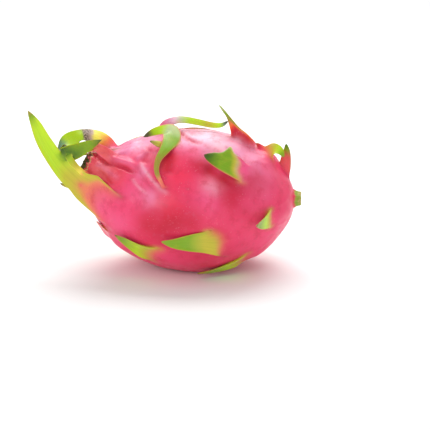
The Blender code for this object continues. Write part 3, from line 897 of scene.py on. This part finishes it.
def runTogether(base, leaf, joined, blades):
    # the colours of a bract and of the skin run into each other at its root
    co, edges = joined["co"], joined["edges"]
    spread = bell(joined["toRoot"], seamLook["bleed"]) * (0.75 + 0.25 * softNoise(co, 3.0, 41))
    for blade in blades:
        own = blade["spec"].get("bleed", 1.0)
        if own < 1.0:
            _, gap = nearestIn(blade["row"][:len(blade["row"]) // 2, :3], co)
            spread *= 1 - (1 - own ** 2) * bell(gap, seamLook["bleedNearby"])
    both = np.column_stack([base, leaf])
    for _ in range(seamLook["bleedTurns"]):
        both += (neighbourMean(edges, both) - both) * (0.8 * spread)[:, None]
    both += (neighbourMean(edges, both) - both) * 0.3
    return both[:, :3], both[:, 3]


def storeLayer(layer, key, values):
    layer.data.foreach_set(key, values.astype(np.float32).ravel())


def colourSkin(piece, joined, blades, shell):
    # the colour and the masks of each point, from the bract or the stretch of body it lies on
    mesh = piece.data
    co, near = joined["co"], joined["near"]
    n = len(co)
    none = np.zeros(len(shell["verts"]))
    counts = [len(blade["verts"]) for blade in blades]
    who = np.concatenate([none, np.repeat(np.arange(1, len(blades) + 1), counts)])[near]
    u, v, side = [np.concatenate([none, ofAll(blades, key)])[near] for key in ("u", "v", "side")]
    t = np.concatenate([shell["t"], np.ones(sum(counts))])[near]
    base = bodyColours(co, who == 0, joined["toMargin"])
    leaf, dead = np.zeros(n), np.zeros(n)
    for k, blade in enumerate(blades):
        mine = who == k + 1
        if not mine.any():
            continue
        tone, blend, dead[mine] = bractColours(blade["spec"], co[mine], u[mine], v[mine],
                                               side[mine], 21 + k)
        base[mine] += (tone - base[mine]) * blend[:, None]
        greenness = tone[:, 1] / np.maximum(tone[:, 0], 0.01)
        leaf[mine] = smoothStep(greenness, 0.30, 0.75) * blend
    base, leaf = runTogether(base, leaf, joined, blades)
    # the dried mouth and its torn rim
    ragged = 0.010 * softNoise(co, 1.6, 33) + 0.012 * softNoise(co, 4.0, 34)
    dry = (1 - smoothStep(t + ragged, *skinColour["mouthEdge"])) * (who == 0)
    layOver(base, "bark", skinColour["mouthDark"] * dry)
    storeLayer(mesh.color_attributes.new("tint", "FLOAT_COLOR", "POINT"), "color",
               np.hstack([base, np.ones((n, 1))]))
    crownToStem = np.where(who == 0, t, 1.0)
    for name, values in (("leaf", leaf), ("dry", dry), ("dead", dead),
                         ("crownToStem", crownToStem)):
        storeLayer(mesh.attributes.new(name, "FLOAT", "POINT"), "value", values)
    storeLayer(mesh.attributes.new("leafPlace", "FLOAT_VECTOR", "POINT"), "vector",
               np.stack([u * 2.0 + who * 3.7, v, side], axis=1))


def feed(tree, socket, value):
    # a link where the value comes from another node, otherwise a fixed value
    if isinstance(value, bpy.types.NodeSocket):
        tree.links.new(value, socket)
    else:
        socket.default_value = value


def node(tree, kind, **values):
    # a node with its settings and inputs, both given by name
    made = tree.nodes.new(kind)
    for key, value in values.items():
        if key in made.inputs:
            feed(tree, made.inputs[key], value)
        else:
            setattr(made, key, value)
    return made


def mixColour(tree, factor, first, second):
    mix = tree.nodes.new("ShaderNodeMix")
    mix.data_type = "RGBA"
    for place, value in ((0, factor), (6, first), (7, second)):
        feed(tree, mix.inputs[place], value)
    return mix.outputs[2]


def rangeOf(tree, value, low, high, outLow=0.0, outHigh=1.0):
    made = node(tree, "ShaderNodeMapRange", interpolation_type="SMOOTHSTEP", Value=value)
    for key, end in (("From Min", low), ("From Max", high), ("To Min", outLow),
                     ("To Max", outHigh)):
        feed(tree, made.inputs[key], end)
    return made.outputs["Result"]


def mathOf(tree, kind, first, second=0.0, third=0.0):
    made = tree.nodes.new("ShaderNodeMath")
    made.operation = kind
    for socket, value in zip(made.inputs, (first, second, third)):
        feed(tree, socket, value)
    return made.outputs[0]


def newMaterial(name):
    material = bpy.data.materials.new(name)
    material.use_nodes = True
    return material, material.node_tree, material.node_tree.nodes["Principled BSDF"]


def setShader(shader, **values):
    # values that are the same all over the surface, by socket name without its spaces
    for socket in shader.inputs:
        key = socket.name.replace(" ", "")
        if key in values:
            socket.default_value = values[key]


# sizes in millimetres; mottle, pale, speck, vein, blotch and crack say how strong each one is;
# tornT is where the pale torn line runs, between crown and stem
rindLook = {
    "mottleSize": 6.0, "mottle": 0.50, "paleSize": 3.0, "pale": 0.13,
    "speckSize": 1.5, "speckGroups": 7.0, "speck": 0.20, "vein": 0.14,
    "blotchSize": 6.0, "blotch": 0.16, "crackSize": 1.1, "crack": 0.8,
    "tornT": 0.140, "tornWander": 0.012, "torn": 0.8, "nickSize": 0.9,
    "roughness": 0.34, "glossSize": 5.0, "dryRoughness": 0.85,
    "bump": 0.16, "bumpStrength": 0.45, "poreSize": 0.8, "swellSize": 3.2,
    "coat": 0.08, "coatRoughness": 0.28, "ior": 1.45, "specular": 0.36,
    "glow": 0.15, "glowReach": (1.0, 0.35, 0.25), "glowDepth": 3.0,
}


def rindMaterial():
    material, tree, shader = newMaterial("rind")
    look = rindLook
    where = tree.nodes.new("ShaderNodeTexCoord").outputs["Object"]

    def attribute(name, output="Fac"):
        return node(tree, "ShaderNodeAttribute", attribute_name=name).outputs[output]

    def times(first, second):
        return mathOf(tree, "MULTIPLY", first, second)

    def noiseAt(size, detail=3.0, rough=0.55):
        return node(tree, "ShaderNodeTexNoise", Vector=where, Scale=1.0 / (size * mm),
                    Detail=detail, Roughness=rough).outputs["Fac"]

    leaf, dry, dead, run = [attribute(name) for name in ("leaf", "dry", "dead", "crownToStem")]
    onBody = mathOf(tree, "SUBTRACT", 1.0, leaf)
    # cloudy mottling, deeper and paler than the tint
    cloud = noiseAt(look["mottleSize"], 8.0, 0.72)
    deep = times(rangeOf(tree, cloud, 0.46, 0.72, 0.0, look["mottle"]), onBody)
    colour = mixColour(tree, deep, attribute("tint", "Color"), opaque("crimson"))
    cloud = noiseAt(look["paleSize"], 6.0, 0.75)
    pale = times(rangeOf(tree, cloud, 0.50, 0.76, 0.0, look["pale"]), onBody)
    colour = mixColour(tree, pale, colour, opaque("lilacPink"))
    # fine pale specks, in loose groups
    specks = node(tree, "ShaderNodeTexVoronoi", Vector=where,
                  Scale=1.0 / (look["speckSize"] * mm))
    dot = rangeOf(tree, specks.outputs["Distance"], 0.08, 0.26, 1.0, 0.0)
    some = rangeOf(tree, noiseAt(look["speckGroups"], 4.0, 0.6), 0.48, 0.66)
    dot = times(times(dot, some), times(onBody, look["speck"]))
    colour = mixColour(tree, dot, colour, opaque("palePink"))
    # veins along the bracts
    stretch = node(tree, "ShaderNodeMapping", Vector=attribute("leafPlace", "Vector"),
                   Scale=(1.3, 11.0, 0.4))
    veins = node(tree, "ShaderNodeTexNoise", Vector=stretch.outputs["Vector"], Scale=1.0,
                 Detail=3.0, Roughness=0.5).outputs["Fac"]
    vein = times(rangeOf(tree, veins, 0.40, 0.68, 0.0, look["vein"]), leaf)
    colour = mixColour(tree, vein, colour, opaque("deepGreen"))
    cloud = noiseAt(look["blotchSize"], 4.0, 0.6)
    blotch = times(rangeOf(tree, cloud, 0.50, 0.72, 0.0, look["blotch"]), leaf)
    colour = mixColour(tree, blotch, colour, opaque("yellowGreen"))
    # cracked bark on the dead band of the arched bract
    crack = rangeOf(tree, noiseAt(look["crackSize"], 4.0, 0.7), 0.42, 0.60)
    bark = mixColour(tree, crack, opaque("bark"), opaque("dryPink"))
    colour = mixColour(tree, times(dead, look["crack"]), colour, bark)
    # pale torn line round the mouth, with small dark nicks
    wander = mathOf(tree, "MULTIPLY_ADD", noiseAt(2.6, 3.0, 0.6), look["tornWander"],
                    -look["tornWander"] / 2)
    along = mathOf(tree, "ADD", run, wander)
    ring = mathOf(tree, "ABSOLUTE", mathOf(tree, "SUBTRACT", along, look["tornT"]))
    torn = rangeOf(tree, ring, 0.0020, 0.0045, look["torn"], 0.0)
    colour = mixColour(tree, torn, colour, opaque("beige"))
    nick = times(rangeOf(tree, ring, 0.004, 0.009, 1.0, 0.0),
                 rangeOf(tree, noiseAt(look["nickSize"], 2.0), 0.60, 0.66))
    colour = mixColour(tree, nick, colour, opaque("bark"))
    feed(tree, shader.inputs["Base Color"], colour)
    # gloss is uneven, and the dried mouth has none
    shine = rangeOf(tree, noiseAt(look["glossSize"], 4.0), 0.3, 0.7, look["roughness"] - 0.06,
                    look["roughness"] + 0.14)
    dull = times(mathOf(tree, "MAXIMUM", dry, torn), look["dryRoughness"])
    feed(tree, shader.inputs["Roughness"], mathOf(tree, "MAXIMUM", shine, dull))
    # low skin relief, and the ribs of the bracts
    pores = times(noiseAt(look["poreSize"], 3.0, 0.6), 0.30)
    relief = mathOf(tree, "ADD", pores, noiseAt(look["swellSize"], 4.0, 0.6))
    relief = mathOf(tree, "SUBTRACT", relief, times(times(veins, leaf), 0.8))
    relief = mathOf(tree, "ADD", relief, times(dot, 0.6))
    bump = node(tree, "ShaderNodeBump", Height=relief, Strength=look["bumpStrength"],
                Distance=look["bump"] * mm)
    feed(tree, shader.inputs["Normal"], bump.outputs["Normal"])
    setShader(shader, SubsurfaceWeight=look["glow"], SubsurfaceRadius=look["glowReach"],
              SubsurfaceScale=look["glowDepth"] * mm, CoatWeight=look["coat"],
              CoatRoughness=look["coatRoughness"], IOR=look["ior"],
              SpecularIORLevel=look["specular"])
    return material


def makeRind():
    blades = allBracts()
    print("bracts:", len(blades))
    shell = bodySurface(blades)
    piece = meshObject("fruitRind", shell["verts"], shell["faces"])
    joinBlades(piece, blades)
    dropCrumbs(piece)
    restFlat(piece)
    joined = softenSeams(piece, blades, shell["verts"])
    print("skin joined:", len(joined["co"]), "points")
    colourSkin(piece, joined, blades, shell)
    piece.data.materials.clear()
    piece.data.materials.append(rindMaterial())
    piece.data.shade_smooth()
    return piece


rind = makeRind()
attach(rind, "root")
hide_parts("dragon_fruit")
print("rind done:", len(rind.data.polygons), "faces")

# what the flower left: a torn, dry collar in the mouth, and the threads inside it
scar = {
    "centre": (-67.3, 0.0, 69.45), "radius": 7.3, "flare": 0.9, "depth": 3.2, "wall": 0.7,
    "shortest": 0.8, "longest": 3.0, "tear": 0.9, "pleats": 17, "finePleats": 43,
    "pleatDepth": 0.28, "finePleatDepth": 0.14, "sides": 180, "steps": 16,
    "threads": 58, "threadLength": 4.6, "threadRadius": 0.24, "threadTip": 0.05,
    "threadInset": 1.6, "threadMargin": 2.0, "lean": 0.45, "seed": 7,
}


def scarFrame():
    # out of the mouth, towards its top edge, and towards the front
    out = unit(np.array(body["mouthAxis"]))
    front = np.array([0.0, -1.0, 0.0])
    return out, np.cross(out, front), front


def makeCollar():
    out, up, front = scarFrame()
    centre = np.array(scar["centre"])
    n, m = scar["sides"], scar["steps"]
    a = 2 * pi * np.arange(n) / n       # 0 at the top, a quarter turn is the front
    ring = np.stack([np.cos(a), np.sin(a), np.zeros(n)], axis=1) * 7.0
    tear = 0.5 * softNoise(ring, 3.2, 51) + 0.5 * softNoise(ring, 1.2, 52)
    longer = scar["longest"] - scar["shortest"]
    reach = scar["shortest"] + longer * (0.5 - 0.5 * np.cos(a - 0.35)) ** 0.8
    reach = np.maximum(reach + scar["tear"] * tear, 0.4)
    pleat = scar["pleatDepth"] * np.cos(scar["pleats"] * a + 2.2 * np.sin(2 * a))
    pleat += scar["finePleatDepth"] * np.cos(scar["finePleats"] * a + 1)
    # up the outside of its wall, and down the inside
    climb = np.linspace(0, 1, m)
    verts, heights = [], []
    for wallSide, run in ((1, climb), (-1, climb[::-1])):
        for f in run:
            along = -scar["depth"] + f * (scar["depth"] + reach)
            r = scar["radius"] - 0.9 * (1 - f) + scar["flare"] * f ** 2 + pleat * (0.3 + f)
            r += 0.35 * softNoise(ring + f * 3, 2.0, 53) * f
            r = r + wallSide * scar["wall"] * (1 - 0.55 * f) / 2
            verts.append(centre + out * along[:, None] + up * (r * np.cos(a))[:, None]
                         + front * (r * np.sin(a))[:, None])
            heights.append(np.column_stack([ring[:, :2], np.full(n, f)]))
    piece = meshObject("flowerScar", np.vstack(verts), ringFaces(2 * m, n, closed=True))
    storeLayer(piece.data.attributes.new("scarPlace", "FLOAT_VECTOR", "POINT"), "vector",
               np.vstack(heights))
    piece.data.shade_smooth()
    return piece


def addSockets(tree, direction, kind, labels):
    for label in labels:
        tree.interface.new_socket(label, in_out=direction, socket_type="NodeSocket" + kind)


def grainGroup():
    # the grain of dry plant stuff, for the scar and the stem: a mask, a roughness and a normal
    group = bpy.data.node_groups.new("dryGrain", "ShaderNodeTree")
    addSockets(group, "INPUT", "Vector", ["Vector"])
    addSockets(group, "INPUT", "Float", ["Scale", "Smoothest", "Roughest", "Relief"])
    addSockets(group, "OUTPUT", "Float", ["Grain", "Roughness"])
    addSockets(group, "OUTPUT", "Vector", ["Normal"])
    given = group.nodes.new("NodeGroupInput").outputs
    grain = node(group, "ShaderNodeTexNoise", Vector=given["Vector"], Scale=given["Scale"],
                 Detail=5.0, Roughness=0.65).outputs["Fac"]
    dull = rangeOf(group, grain, 0.3, 0.7, given["Smoothest"], given["Roughest"])
    bump = node(group, "ShaderNodeBump", Height=grain, Strength=given["Relief"],
                Distance=0.3 * mm)
    node(group, "NodeGroupOutput", Grain=rangeOf(group, grain, 0.36, 0.64), Roughness=dull,
         Normal=bump.outputs["Normal"])
    return group


def placeGrain(tree, vector, **values):
    # the grain group in a material, joined to its shader
    grain = tree.nodes.new("ShaderNodeGroup")
    grain.node_tree = bpy.data.node_groups.get("dryGrain") or grainGroup()
    for key, value in dict(values, Vector=vector).items():
        feed(tree, grain.inputs[key], value)
    shader = tree.nodes["Principled BSDF"]
    for key in ("Roughness", "Normal"):
        feed(tree, shader.inputs[key], grain.outputs[key])
    return grain.outputs["Grain"]


def dryColour(tree, vector):
    grain = placeGrain(tree, vector, Scale=1.0, Smoothest=0.65, Roughest=0.9, Relief=0.8)
    return mixColour(tree, grain, opaque("bark"), opaque("dryOlive"))


def collarMaterial():
    # dry fibre, streaked along the collar and darkest at its torn edge
    material, tree, shader = newMaterial("dryCollar")
    where = node(tree, "ShaderNodeAttribute", attribute_name="scarPlace").outputs["Vector"]
    scale = node(tree, "ShaderNodeMapping", Vector=where, Scale=(1.5, 1.5, 0.5))
    colour = dryColour(tree, scale.outputs["Vector"])
    height = node(tree, "ShaderNodeSeparateXYZ", Vector=where).outputs["Z"]
    edge = rangeOf(tree, height, 0.80, 1.0, 0.0, 0.75)
    feed(tree, shader.inputs["Base Color"], mixColour(tree, edge, colour, opaque("tipBrown")))
    setShader(shader, SpecularIORLevel=0.3)
    return material


def threadMaterial():
    material, tree, shader = newMaterial("dryThread")
    where = tree.nodes.new("ShaderNodeTexCoord").outputs["Object"]
    scale = node(tree, "ShaderNodeMapping", Vector=where, Scale=(700, 700, 700))
    feed(tree, shader.inputs["Base Color"], dryColour(tree, scale.outputs["Vector"]))
    setShader(shader, SpecularIORLevel=0.3)
    return material


def threadTree(material):
    # dried threads: cones on points scattered over a disc, each leaning its own way
    tree = bpy.data.node_groups.new("driedThreads", "GeometryNodeTree")
    addSockets(tree, "INPUT", "Geometry", ["Geometry"])
    addSockets(tree, "INPUT", "Int", ["Count", "Seed"])
    addSockets(tree, "INPUT", "Float", ["Length", "Radius", "Spread", "Lean"])
    addSockets(tree, "OUTPUT", "Geometry", ["Geometry"])
    given = tree.nodes.new("NodeGroupInput").outputs

    def randomVector(low, high, seedStep):
        seed = mathOf(tree, "ADD", given["Seed"], seedStep)
        made = node(tree, "FunctionNodeRandomValue", data_type="FLOAT_VECTOR", Seed=seed)
        made.inputs[0].default_value, made.inputs[1].default_value = low, high
        return made.outputs[0]

    # each point stands at a random turn and a random reach from the middle
    polar = node(tree, "ShaderNodeSeparateXYZ",
                 Vector=randomVector((0.1, 0, 0), (1.0, 6.2832, 0), 0)).outputs
    reach = mathOf(tree, "MULTIPLY", mathOf(tree, "SQRT", polar["X"]), given["Spread"])
    away = node(tree, "ShaderNodeCombineXYZ", X=reach).outputs[0]
    spot = node(tree, "ShaderNodeVectorRotate", rotation_type="Z_AXIS", Vector=away,
                Angle=polar["Y"]).outputs[0]
    points = node(tree, "GeometryNodePoints", Count=given["Count"], Position=spot).outputs[0]
    cone = node(tree, "GeometryNodeMeshCone", Vertices=6, Depth=given["Length"])
    for key, value in (("Side Segments", 4), ("Radius Bottom", given["Radius"]),
                       ("Radius Top", scar["threadTip"] * mm)):
        feed(tree, cone.inputs[key], value)
    lean = node(tree, "ShaderNodeVectorMath", operation="SCALE",
                Vector=randomVector((-1, -1, 0), (1, 1, 6), 1), Scale=given["Lean"])
    place = node(tree, "GeometryNodeInstanceOnPoints", Points=points,
                 Instance=cone.outputs["Mesh"], Rotation=lean.outputs[0],
                 Scale=randomVector((0.7, 0.7, 0.5), (1.3, 1.3, 1.15), 2))
    real = node(tree, "GeometryNodeRealizeInstances", Geometry=place.outputs[0])
    coat = node(tree, "GeometryNodeSetMaterial", Geometry=real.outputs[0], Material=material)
    node(tree, "NodeGroupOutput", Geometry=coat.outputs[0])
    return tree


def makeThreads():
    holder = addObject("threadMaker", bpy.data.meshes.new("threadMaker"))
    maker = holder.modifiers.new("threads", "NODES")
    maker.node_group = tree = threadTree(threadMaterial())
    spread = scar["radius"] - scar["threadMargin"]
    sizes = {"Count": scar["threads"], "Seed": scar["seed"], "Length": scar["threadLength"] * mm,
             "Radius": scar["threadRadius"] * mm, "Spread": spread * mm, "Lean": scar["lean"]}
    for socket in tree.interface.items_tree:
        if socket.in_out == "INPUT" and socket.name in sizes:
            maker[socket.identifier] = sizes[socket.name]
    graph = bpy.context.evaluated_depsgraph_get()
    mesh = bpy.data.meshes.new_from_object(holder.evaluated_get(graph))
    bpy.data.objects.remove(holder, do_unlink=True)
    # from upright at the origin into the mouth
    out, up, front = scarFrame()
    turn = Matrix([[*row] for row in np.stack([up, front, out], axis=1)]).to_4x4()
    inner = (np.array(scar["centre"]) - out * scar["threadInset"]) * mm
    mesh.transform(Matrix.Translation(Vector(inner)) @ turn)
    turnOutwards(mesh)
    return addObject("driedThreads", mesh)


collar = makeCollar()
collar.data.materials.append(collarMaterial())
threads = makeThreads()
for piece in (collar, threads):
    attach(piece, "root")
    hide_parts("dragon_fruit")
print("flower scar done:", len(threads.data.polygons), "thread faces")

# cut end of the stem, in millimetres: its profile as shares of the radius and places along it,
# and the radii between which each ring of colour comes or goes
stemEnd = {
    "radius": 4.6, "sides": 96, "foot": 69.5, "above": 1.0, "inside": -4.0, "middle": 2.55,
    "profile": [(1.5, -3.0), (1.36, -1.6), (1.20, -0.5), (1.08, 0.6), (1.02, 1.6), (1.0, 2.4),
                (0.96, 2.95), (0.90, 3.2), (0.82, 3.15), (0.72, 2.9), (0.66, 2.75), (0.58, 2.85),
                (0.46, 2.95), (0.34, 2.8), (0.22, 2.6), (0.10, 2.55)],
    "darkRing": (2.6, 3.1), "darkRingEnd": (3.4, 3.9), "greenRing": (4.2, 5.0),
    "pinkSkin": (5.2, 6.6),
}


def makeStem():
    n = stemEnd["sides"]
    a = 2 * pi * np.arange(n) / n
    wave = 1 + 0.05 * np.sin(5 * a + 1) + 0.02 * np.sin(13 * a)
    rough = softNoise(np.stack([np.cos(a) * 5, np.sin(a) * 5, a * 0], axis=1), 1.5, 61)
    foot, middle = stemEnd["foot"], body["restHeight"] + stemEnd["above"]
    verts = []
    for share, x in stemEnd["profile"]:
        r = stemEnd["radius"] * share * (wave if share > 0.7 else 1 + (wave - 1) * share)
        up = x + 0.12 * rough * (x > 2)
        verts.append(np.stack([foot + up, r * np.cos(a), middle + r * np.sin(a)], axis=1))
    verts.append([[foot + stemEnd[end], 0, middle] for end in ("inside", "middle")])
    rings = len(stemEnd["profile"])
    faces = ringFaces(rings, n) + capFaces(rings, n, rings * n, rings * n + 1)
    piece = meshObject("stemCut", np.vstack(verts), faces)
    piece.data.shade_smooth()
    piece.data.materials.append(stemMaterial())
    return piece


def stemMaterial():
    # green bark outside; on the cut, rings of pith and wood by distance from the stem's middle
    material, tree, shader = newMaterial("stemWood")
    where = tree.nodes.new("ShaderNodeTexCoord").outputs["Object"]
    wood = placeGrain(tree, where, Scale=900.0, Smoothest=0.5, Roughest=0.8, Relief=0.6)
    middle = (body["restHeight"] + stemEnd["above"]) * mm
    centred = node(tree, "ShaderNodeMapping", Vector=where, Location=(0, 0, -middle))
    flat = node(tree, "ShaderNodeVectorMath", operation="MULTIPLY")
    feed(tree, flat.inputs[0], centred.outputs["Vector"])
    feed(tree, flat.inputs[1], (0, 1, 1))
    radius = node(tree, "ShaderNodeVectorMath", operation="LENGTH",
                  Vector=flat.outputs[0]).outputs["Value"]

    def across(key, inner, outer):
        low, high = stemEnd[key]
        return rangeOf(tree, radius, low * mm, high * mm, inner, outer)

    colour = mixColour(tree, wood, opaque("olive"), opaque("beige"))
    ring = mathOf(tree, "MULTIPLY", across("darkRing", 0.0, 1.0), across("darkRingEnd", 0.7, 0.0))
    colour = mixColour(tree, ring, colour, opaque("bark"))
    colour = mixColour(tree, across("greenRing", 0.0, 0.8), colour, opaque("leafGreen"))
    colour = mixColour(tree, across("pinkSkin", 0.0, 1.0), colour, opaque("pinkRed"))
    feed(tree, shader.inputs["Base Color"], colour)
    return material


stem = makeStem()
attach(stem, "root")
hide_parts("dragon_fruit")
print("stem done")

# table top, lights (place and size in metres, power in watts) and camera; bodyPixel is where
# the body's middle stands in the photograph
studio = {
    "floorSize": 8.0, "floorColour": (0.93, 0.93, 0.93, 1), "floorRoughness": 0.85,
    "skyColour": (1.0, 1.0, 1.0, 1), "sky": 0.62, "lightsAim": (0, 0, 0.05),
    "lights": {
        "topSoft": {"place": (0.06, 0.38, 0.66), "size": (0.8, 0.45), "power": 5.5},
        "frontSoft": {"place": (-0.50, -0.80, 0.50), "size": (0.5, 0.5), "power": 2.4},
        "glowSoft": {"place": (0.30, -1.00, 0.16), "size": (0.30, 0.30), "power": 0.9},
    },
    "lens": 300.0, "sensor": 36.0, "photoSide": 430, "bodyPixel": (190, 200),
    "mmPerPixel": 0.65, "nearness": 1.010,
}


def makeFloor():
    bpy.ops.mesh.primitive_plane_add(size=studio["floorSize"], location=(0, 0, 0))
    floor = bpy.context.object
    floor.name = "floor"
    material, _, shader = newMaterial("paleFloor")
    setShader(shader, BaseColor=studio["floorColour"], Roughness=studio["floorRoughness"],
              SpecularIORLevel=0.2)
    floor.data.materials.append(material)


def aimAt(piece, direction):
    piece.rotation_mode = "QUATERNION"
    piece.rotation_quaternion = direction.to_track_quat("-Z", "Y")


def makeLights():
    world = bpy.data.worlds.new("studio")
    bpy.context.scene.world = world
    world.use_nodes = True
    sky = world.node_tree.nodes["Background"]
    sky.inputs["Color"].default_value = studio["skyColour"]
    sky.inputs["Strength"].default_value = studio["sky"]
    for name, light in studio["lights"].items():
        data = bpy.data.lights.new(name, "AREA")
        data.shape = "RECTANGLE"
        data.size, data.size_y = light["size"]
        data.energy = light["power"]
        lamp = addObject(name, data)
        lamp.location = light["place"]
        aimAt(lamp, Vector(studio["lightsAim"]) - Vector(light["place"]))


def makeCamera():
    # the photograph's middle lies right of and below the body's middle
    lean = radians(body["lookDown"])
    side, pixel = studio["photoSide"], studio["mmPerPixel"]
    right = (side / 2 - studio["bodyPixel"][0]) * pixel
    down = (side / 2 - studio["bodyPixel"][1]) * pixel / cos(lean)
    aim = Vector((right, 0, body["restHeight"] - down)) * mm
    reach = studio["lens"] / studio["sensor"] * side * pixel * mm * studio["nearness"]
    data = bpy.data.cameras.new("camera")
    data.lens = studio["lens"]
    data.sensor_width = studio["sensor"]
    camera = addObject("camera", data)
    back = Vector((0, -cos(lean), sin(lean)))
    camera.location = aim + back * reach
    aimAt(camera, -back)
    bpy.context.scene.camera = camera
    bpy.context.scene.view_settings.view_transform = "Standard"
    bpy.context.scene.view_settings.look = "None"


makeFloor()
makeLights()
makeCamera()
print("studio done")
